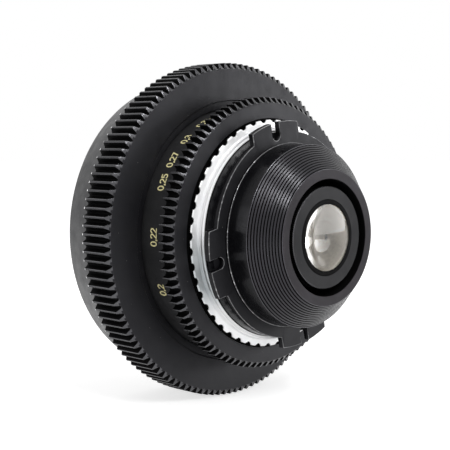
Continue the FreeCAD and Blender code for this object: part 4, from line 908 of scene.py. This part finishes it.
def make_rear_cell():
    """The cell that holds the rear glasses, with straight knurling round its rear end."""
    angles = even_angles(CELL_TEETH * 2)
    plain = [
        (CELL_BORE, CELL_REAR), (CELL_BORE, -1.0), (CELL_EYE, -1.0), (CELL_EYE, -2.0), (12.6, -2.0),
        (12.6, CELL_FRONT), (CELL_RADIUS, CELL_FRONT), (CELL_RADIUS, CELL_FLANGE_FRONT),
        (CELL_FLANGE_RADIUS, CELL_FLANGE_FRONT), (CELL_FLANGE_RADIUS, CELL_FLANGE_REAR),
        (CELL_RADIUS, CELL_FLANGE_REAR), (CELL_RADIUS, 8.0),
    ]
    loops = [circle(radius, y, angles) for radius, y in plain]
    loops += [toothed(CELL_RADIUS, 0.25, y, angles) for y in (8.0, CELL_REAR)]
    slots = [0] * len(plain) + [1, 0]
    skin("rear_cell", loops, [BLACK_AND_PAINTED_SHADE, KNURL_BLACK], slots=slots)


def make_rear_retaining_ring():
    """A flat ring with fine teeth on its rim, a small groove and a raised bevel round the glass."""
    angles = even_angles(CELL_TEETH * 2)
    rim = [(15.0, CELL_REAR), (15.0, 14.0), (14.82, 14.2)]
    plain = [
        (14.6, 14.2), (11.22, 14.2), (11.12, 14.1), (11.02, 14.2), (9.8, 14.33), (9.74, 14.31),
        (9.74, 14.25), (CELL_BORE, 13.91),
    ]
    loops = [circle(CELL_BORE, CELL_REAR, angles)]
    loops += [toothed(radius, 0.22, y, angles) for radius, y in rim]
    loops += [circle(radius, y, angles) for radius, y in plain]
    flat, bevel, teeth = range(3)
    slots = [bevel, bevel, teeth, flat, flat] + [bevel] * 7
    skin("rear_retaining_ring", loops, [CELL_BLACK, BEVEL_BLACK, KNURL_BLACK], slots=slots)


def make_glass_spacer():
    """The spacer between the rear glasses, whose pale inner wall shows through the glass."""
    lathe("glass_spacer", [
        (CELL_EYE, 2.14), (GLASS_RADIUS, 2.14), (GLASS_RADIUS, 9.37), (CELL_EYE, 9.37),
    ], [GROUND_EDGE], 0.05, 240)


make_rear_cone()
make_rear_cell()
make_glass_spacer()
make_rear_retaining_ring()


# Front: housing, trim ring, front cell and its ring

HOUSING_FRONT, HOUSING_REAR = node_span("front_housing")
HOUSING_RADIUS = node_radius("front_housing")
HOUSING_NECK_RADIUS = 39.0
HOUSING_RECESS_RADIUS = 38.1
FRONT_CELL_RADIUS = node_radius("front_cell")
FRONT_CELL_REAR = node_span("front_cell")[1]
FRONT_GLASS_BORE = 31.05
FRONT_RING_RADIUS = node_radius("front_retaining_ring")
TRIM_FRONT, TRIM_REAR = node_span("front_trim_ring")
TRIM_RADIUS = node_radius("front_trim_ring")
FILTER_BORE = 38.5


def make_front():
    lathe("front_housing", [
        (HOUSING_RECESS_RADIUS, HOUSING_REAR), (HOUSING_RADIUS, HOUSING_REAR),
        (HOUSING_RADIUS, -30.0), (HOUSING_NECK_RADIUS, -30.0), (HOUSING_NECK_RADIUS, HOUSING_FRONT),
        (FRONT_CELL_RADIUS, HOUSING_FRONT), (FRONT_CELL_RADIUS, FRONT_CELL_REAR),
        (22.7, FRONT_CELL_REAR), (22.7, -35.0), (36.0, -35.0), (36.0, -30.8),
        (HOUSING_RECESS_RADIUS, -30.8),
    ], [RING_BLACK, RING_FACE], pick=flat_or_side)
    lathe("front_trim_ring", [
        (FILTER_BORE + 0.3, TRIM_FRONT), (TRIM_RADIUS - 0.6, TRIM_FRONT),
        (TRIM_RADIUS, TRIM_FRONT + 0.6), (TRIM_RADIUS, TRIM_REAR), (HOUSING_NECK_RADIUS, TRIM_REAR),
        (HOUSING_NECK_RADIUS, HOUSING_FRONT), (FILTER_BORE, HOUSING_FRONT),
        (FILTER_BORE, TRIM_FRONT + 0.3),
    ], [RING_BLACK, RING_FACE], pick=flat_or_side)
    lathe("front_cell", [
        (FRONT_RING_RADIUS, HOUSING_FRONT), (FRONT_CELL_RADIUS, HOUSING_FRONT),
        (FRONT_CELL_RADIUS, FRONT_CELL_REAR), (26.5, FRONT_CELL_REAR), (26.5, -37.96),
        (FRONT_GLASS_BORE, -37.96), (FRONT_GLASS_BORE, -40.5), (FRONT_RING_RADIUS, -40.5),
    ], [BLACK_AND_PAINTED_SHADE, CELL_BLACK], 0.08, 300, flat_or_side)
    lathe("front_retaining_ring", [
        (FRONT_RING_RADIUS, -40.53), (FRONT_GLASS_BORE, -40.53), (29.6, -40.89), (29.6, -41.14),
        (31.0, -43.23), (FRONT_RING_RADIUS, -43.23),
    ], [CELL_BLACK], 0.08, 300)


make_front()


# Glass: each element is a smooth closed lens

GLASS_SEGMENTS = 192
FACE_STEPS = 28
POLE_RADIUS = 0.00001
CEMENT_GAP = 0.02
FRONT_GLASS_RADIUS = 31.0
SECOND_GLASS_RADIUS = 20.0
DOUBLET_RADIUS = 12.55


def bowed_front(vertex, bend):
    """Height of a face whose middle stands furthest forward."""
    return lambda radius: vertex + bend - math.sqrt(bend ** 2 - radius ** 2)


def bowed_rear(vertex, bend):
    """Height of a face whose middle stands furthest to the rear."""
    return lambda radius: vertex - bend + math.sqrt(bend ** 2 - radius ** 2)


def flat_face(y):
    return lambda radius: y


def glass_face(height, outside, clear):
    """Points of one face from its middle outwards. Beyond its clear radius a face is flat."""
    reach = clear or outside
    radii = [reach * step / FACE_STEPS for step in range(FACE_STEPS + 1)]
    points = [(max(radius, POLE_RADIUS), height(radius)) for radius in radii]
    if clear:
        points.append((outside, height(clear)))
    return points


def lens(node, material, front, rear, outside, front_clear=None, rear_clear=None):
    """front and rear give y for a radius."""
    angles = even_angles(GLASS_SEGMENTS)
    outline = glass_face(front, outside, front_clear) + glass_face(rear, outside, rear_clear)[::-1]
    loops = [circle(radius, y, angles) for radius, y in outline]
    return skin(node, loops, [material], closed=False)


def make_glass():
    lens("front_element", GLASS_FRONT, bowed_front(-44.4, 120.0), bowed_front(-41.8, 90.0),
         FRONT_GLASS_RADIUS, rear_clear=26.0)
    lens("second_element", GLASS_FRONT, bowed_front(-35.0, 150.0), bowed_front(-32.983, 35.0),
         SECOND_GLASS_RADIUS, rear_clear=18.0)
    lens("doublet_flint", GLASS_REAR, bowed_rear(-8.06, 40.0), bowed_front(-6.6 - CEMENT_GAP, 35.0),
         DOUBLET_RADIUS, front_clear=11.0)
    lens("doublet_crown", GLASS_REAR, bowed_front(-6.6, 35.0), flat_face(-2.0), DOUBLET_RADIUS)
    lens("middle_element", GLASS_REAR, bowed_rear(0.014, 45.0), bowed_rear(3.4, 38.0), GLASS_RADIUS,
         front_clear=9.5)
    lens("rear_element", GLASS_REAR, bowed_front(8.6, 60.0), bowed_rear(15.345, 40.0), GLASS_RADIUS)


make_glass()


# Figures of the two scales, drawn as flat ribbons that lie on a band

def arc(x, y, wide, high, start, end, steps=14):
    """Points of an ellipse from one angle to another, in degrees, counted from +X."""
    points = []
    for step in range(steps + 1):
        angle = math.radians(start + (end - start) * step / steps)
        points.append((x + wide * math.cos(angle), y + high * math.sin(angle)))
    return points


# Each figure is its width and its strokes, for a height of 1.
GLYPHS = {
    "0": (0.5, [arc(0.25, 0.5, 0.25, 0.5, 90, 449, 32)]),
    "1": (0.26, [[(0.0, 0.8), (0.2, 1.0), (0.2, 0.0)]]),
    "2": (0.5, [arc(0.25, 0.74, 0.24, 0.26, 165, -25) + [(0.02, 0.0), (0.5, 0.0)]]),
    "3": (0.5, [arc(0.24, 0.76, 0.22, 0.24, 150, -88) + arc(0.24, 0.27, 0.26, 0.27, 88, -150)]),
    "4": (0.54, [[(0.4, 0.0), (0.4, 1.0), (0.0, 0.3), (0.54, 0.3)]]),
    "5": (0.5, [[(0.45, 1.0), (0.1, 1.0), (0.06, 0.56)] + arc(0.23, 0.32, 0.26, 0.31, 120, -145)]),
    "6": (0.5, [[(0.4, 1.0)] + arc(0.25, 0.3, 0.25, 0.3, 150, 510, 28)]),
    "7": (0.5, [[(0.0, 1.0), (0.5, 1.0), (0.17, 0.0)]]),
    "8": (0.5, [arc(0.25, 0.76, 0.21, 0.23, 270, -89, 24), arc(0.25, 0.27, 0.25, 0.27, 90, 449, 26)]),
    ",": (0.1, [[(0.08, 0.06), (0.02, -0.14)]]),
    "~": (0.92, [
        arc(0.23, 0.46, 0.22, 0.24, 30, 330, 22) + arc(0.69, 0.46, 0.22, 0.24, 210, 510, 22) + [(0.42, 0.58)]
    ]),
}
GLYPH_SPACE = 0.17
CAP_SIDES = (0.65, 0.25, 0.0)
CORNER_LIMIT = 0.55
FIGURE_LIFT = 0.03
STROKE_LIFT = 0.006


def ribbon(points, half_width):
    """Both edges of a stroke, with its ends rounded off."""
    left, right = [], []
    last = len(points) - 1

    def put(spot, across):
        left.append(spot + across)
        right.append(spot - across)

    def put_cap(spot, way, normal, sides):
        """Points of a stroke's round end. A side of 0 is its tip."""
        for side in sides:
            put(spot + way * half_width * math.sqrt(1 - side ** 2), normal * half_width * side)

    for index, (x, y) in enumerate(points):
        before = points[max(index - 1, 0)]
        after = points[min(index + 1, last)]
        first = Vector((x - before[0], y - before[1]))
        second = Vector((after[0] - x, after[1] - y))
        first = first.normalized() if first.length > 1e-6 else second.normalized()
        second = second.normalized() if second.length > 1e-6 else first
        way = (first + second).normalized() if (first + second).length > 1e-3 else first
        normal = Vector((-way.y, way.x))
        stretch = 1 / max(CORNER_LIMIT, normal.dot(Vector((-first.y, first.x))))
        spot = Vector((x, y))
        if index == 0:
            put_cap(spot, -way, normal, CAP_SIDES[::-1])
        put(spot, normal * half_width * stretch)
        if index == last:
            put_cap(spot, way, normal, CAP_SIDES)
    return left, right


def flat_piece(name, body, material, points, faces):
    """A thin painted mark that rides on a body."""
    item = place_on(name, mesh_from(name, points, faces, [material]), body)


def figures(name, body, material, entries, height, stroke, place):
    """All figures of one scale. An entry is (text, clock angle of its middle in degrees).
    place turns (distance along, distance up, clock angle, lift) to a point."""
    points, faces = [], []
    for text, clock in entries:
        width = sum(GLYPHS[mark][0] for mark in text) + GLYPH_SPACE * (len(text) - 1)
        pen = -width / 2
        for mark in text:
            advance, strokes = GLYPHS[mark]
            for number, stroke_points in enumerate(strokes):
                scaled = [((pen + x) * height, (y - 0.5) * height) for x, y in stroke_points]
                left, right = ribbon(scaled, stroke / 2)
                base = len(points)
                lift = FIGURE_LIFT + STROKE_LIFT * number
                for pair in zip(left, right):
                    points += [place(spot.x, spot.y, math.radians(clock), lift) for spot in pair]
                for start in range(base, base + 2 * len(left) - 2, 2):
                    faces.append((start, start + 1, start + 3, start + 2))
            pen += advance + GLYPH_SPACE
    flat_piece(name, body, material, points, faces)


# The scales. The focus figures shown in the photo stand at its angles, and the others go on
# from them to infinity, which stands at the index at rest.
INDEX_CLOCK = 26.8
FOCUS_FIGURES_Y = -18.9
FOCUS_FIGURE_HEIGHT = 2.35
FOCUS_STROKE = 0.42
FOCUS_SCALE = [
    ("0,2", -113.6), ("0,22", -89.4), ("0,25", -64.7), ("0,27", -53.4), ("0,3", -41.2), ("0,35", -27.9),
    ("0,4", -19.3), ("0,5", -9.1), ("0,7", 1.5), ("1", 9.0), ("2", 17.5), ("~", INDEX_CLOCK),
]
APERTURE_STOPS = ["2", "2,8", "4", "5,6", "8", "11", "16", "22"]
APERTURE_THROW = 50.0
APERTURE_FIGURE_HEIGHT = 2.6
APERTURE_STROKE = 0.3
TAPER_LENGTH = 13.42
STOPS_FROM_TAPER_REAR = 5.2


def on_focus_band(along, up, clock, lift):
    radius = FOCUS_BAND_RADIUS + lift
    return on_circle(radius, clock + along / radius, FOCUS_FIGURES_Y - up)


def on_taper(along, up, clock, lift):
    """A point of the large ring's tapered band, which narrows towards the front."""
    share = (STOPS_FROM_TAPER_REAR + up) / TAPER_LENGTH
    radius = TAPER_REAR[0] + (TAPER_FRONT[0] - TAPER_REAR[0]) * share + lift
    return on_circle(radius, clock + along / radius, TAPER_REAR[1] + (TAPER_FRONT[1] - TAPER_REAR[1]) * share)


def make_scales():
    figures("focus_figures", "focus_ring", SCALE_YELLOW, FOCUS_SCALE, FOCUS_FIGURE_HEIGHT,
            FOCUS_STROKE, on_focus_band)
    last = len(APERTURE_STOPS) - 1
    entries = [
        (stop, INDEX_CLOCK + APERTURE_THROW * index / last)
        for index, stop in enumerate(APERTURE_STOPS)]
    figures("aperture_figures", "aperture_ring", MARK_WHITE, entries, APERTURE_FIGURE_HEIGHT,
            APERTURE_STROKE, on_taper)


# Index lines: one on each end of the optical block, for the two scales

INDEX_HALF_WIDTH = 0.2
FOCUS_INDEX_RADII = (38.25, 40.25)
APERTURE_INDEX_RADII = (39.2, 41.3)


def index_line(name, radii, y):
    clock = math.radians(INDEX_CLOCK)
    inside, outside = radii
    corners = [(inside, -1), (inside, 1), (outside, 1), (outside, -1)]
    points = [on_circle(radius, clock + side * INDEX_HALF_WIDTH / radius, y) for radius, side in corners]
    flat_piece(name, "optical_block", MARK_WHITE, points, [(0, 1, 2, 3)])


make_scales()
index_line("focus_index", FOCUS_INDEX_RADII, HOUSING_REAR + 0.03)
index_line("aperture_index", APERTURE_INDEX_RADII, TRIM_FRONT - 0.02)


# Floor, surround and lamps, with their sizes in metres

FLOOR_Z = -0.0521
FLOOR_REACH = 3.0
FLOOR_TONES = ((0.9, 0.9, 0.9), (0.92, 0.92, 0.92))
FLOOR_LIFT = 0.66
WORLD_LIGHT = 0.45
SEEN_RAYS = ("Is Camera Ray", "Is Glossy Ray", "Is Transmission Ray")


def seen_share(tree):
    """1 for rays from the camera, also by way of a mirror or through glass, otherwise 0."""
    path = tree.nodes.new("ShaderNodeLightPath")
    total = path.outputs[SEEN_RAYS[0]]
    for name in SEEN_RAYS[1:]:
        join = tree.nodes.new("ShaderNodeMath")
        join.operation = "MAXIMUM"
        tree.links.new(total, join.inputs[0])
        tree.links.new(path.outputs[name], join.inputs[1])
        total = join.outputs[0]
    return total


def make_floor():
    """A plain pale floor. What the camera and mirrors see of it is lifted to the white of the
    surround, and the shadow of the object stays on it."""
    mesh = bpy.data.meshes.new("floor")
    corners = [(x * FLOOR_REACH, y * FLOOR_REACH, FLOOR_Z) for x, y in ((-1, -1), (1, -1), (1, 1), (-1, 1))]
    mesh.from_pydata(corners, [], [(0, 1, 2, 3)])
    shade = Shade("floor_white")
    tone = shade.mix(shade.noise(3.0, 2.0), *FLOOR_TONES)
    lift = shade.math("MULTIPLY", seen_share(shade.tree), FLOOR_LIFT)
    mesh.materials.append(shade.finish(
        Base_Color=tone, Roughness=0.8, Specular_IOR_Level=0.0, Emission_Color=(1.0, 1.0, 1.0),
        Emission_Strength=lift))
    item = bpy.data.objects.new("floor", mesh)
    bpy.context.scene.collection.objects.link(item)


def make_world():
    """Plain soft light for the object, and a white background for the camera and for mirrors."""
    world = bpy.data.worlds.new("surround")
    bpy.context.scene.world = world
    world.use_nodes = True
    tree = world.node_tree
    tree.nodes.clear()
    output = tree.nodes.new("ShaderNodeOutputWorld")
    light = tree.nodes.new("ShaderNodeBackground")
    seen = tree.nodes.new("ShaderNodeBackground")
    pick = tree.nodes.new("ShaderNodeMixShader")
    for background, strength in ((light, WORLD_LIGHT), (seen, 1.0)):
        background.inputs["Color"].default_value = (1, 1, 1, 1)
        background.inputs["Strength"].default_value = strength
    tree.links.new(seen_share(tree), pick.inputs["Fac"])
    tree.links.new(light.outputs[0], pick.inputs[1])
    tree.links.new(seen.outputs[0], pick.inputs[2])
    tree.links.new(pick.outputs[0], output.inputs["Surface"])


# Each lamp is its name, its direction and distance from the lens, its width and height in
# metres and its power in watts.
LAMPS = [
    ("left", (0.69, -0.7, 0.2), 0.9, (0.22, 0.5), 0.4),
    ("top_left", (0.34, 0.664, 0.654), 1.2, (0.08, 0.35), 3.4),
    ("top_right", (-0.033, 0.521, 0.846), 1.2, (0.08, 0.35), 3.4),
    ("right_high", (-0.745, 0.4, 0.53), 1.2, (0.5, 0.5), 1.2),
    ("right", (-0.78, 0.62, 0.06), 1.2, (1.0, 0.5), 5.5),
]


def add_lamp(name, way, distance, size, power):
    """A soft oval lamp that looks at the lens from the given direction."""
    data = bpy.data.lights.new(name, "AREA")
    data.shape = "ELLIPSE"
    data.size, data.size_y = size
    data.energy = power
    item = bpy.data.objects.new(name, data)
    item.location = Vector(way).normalized() * distance
    item.rotation_euler = (-item.location).to_track_quat("-Z", "Y").to_euler()
    bpy.context.scene.collection.objects.link(item)


make_floor()
make_world()
for lamp in LAMPS:
    add_lamp(*lamp)

bpy.context.scene.view_settings.view_transform = "Standard"
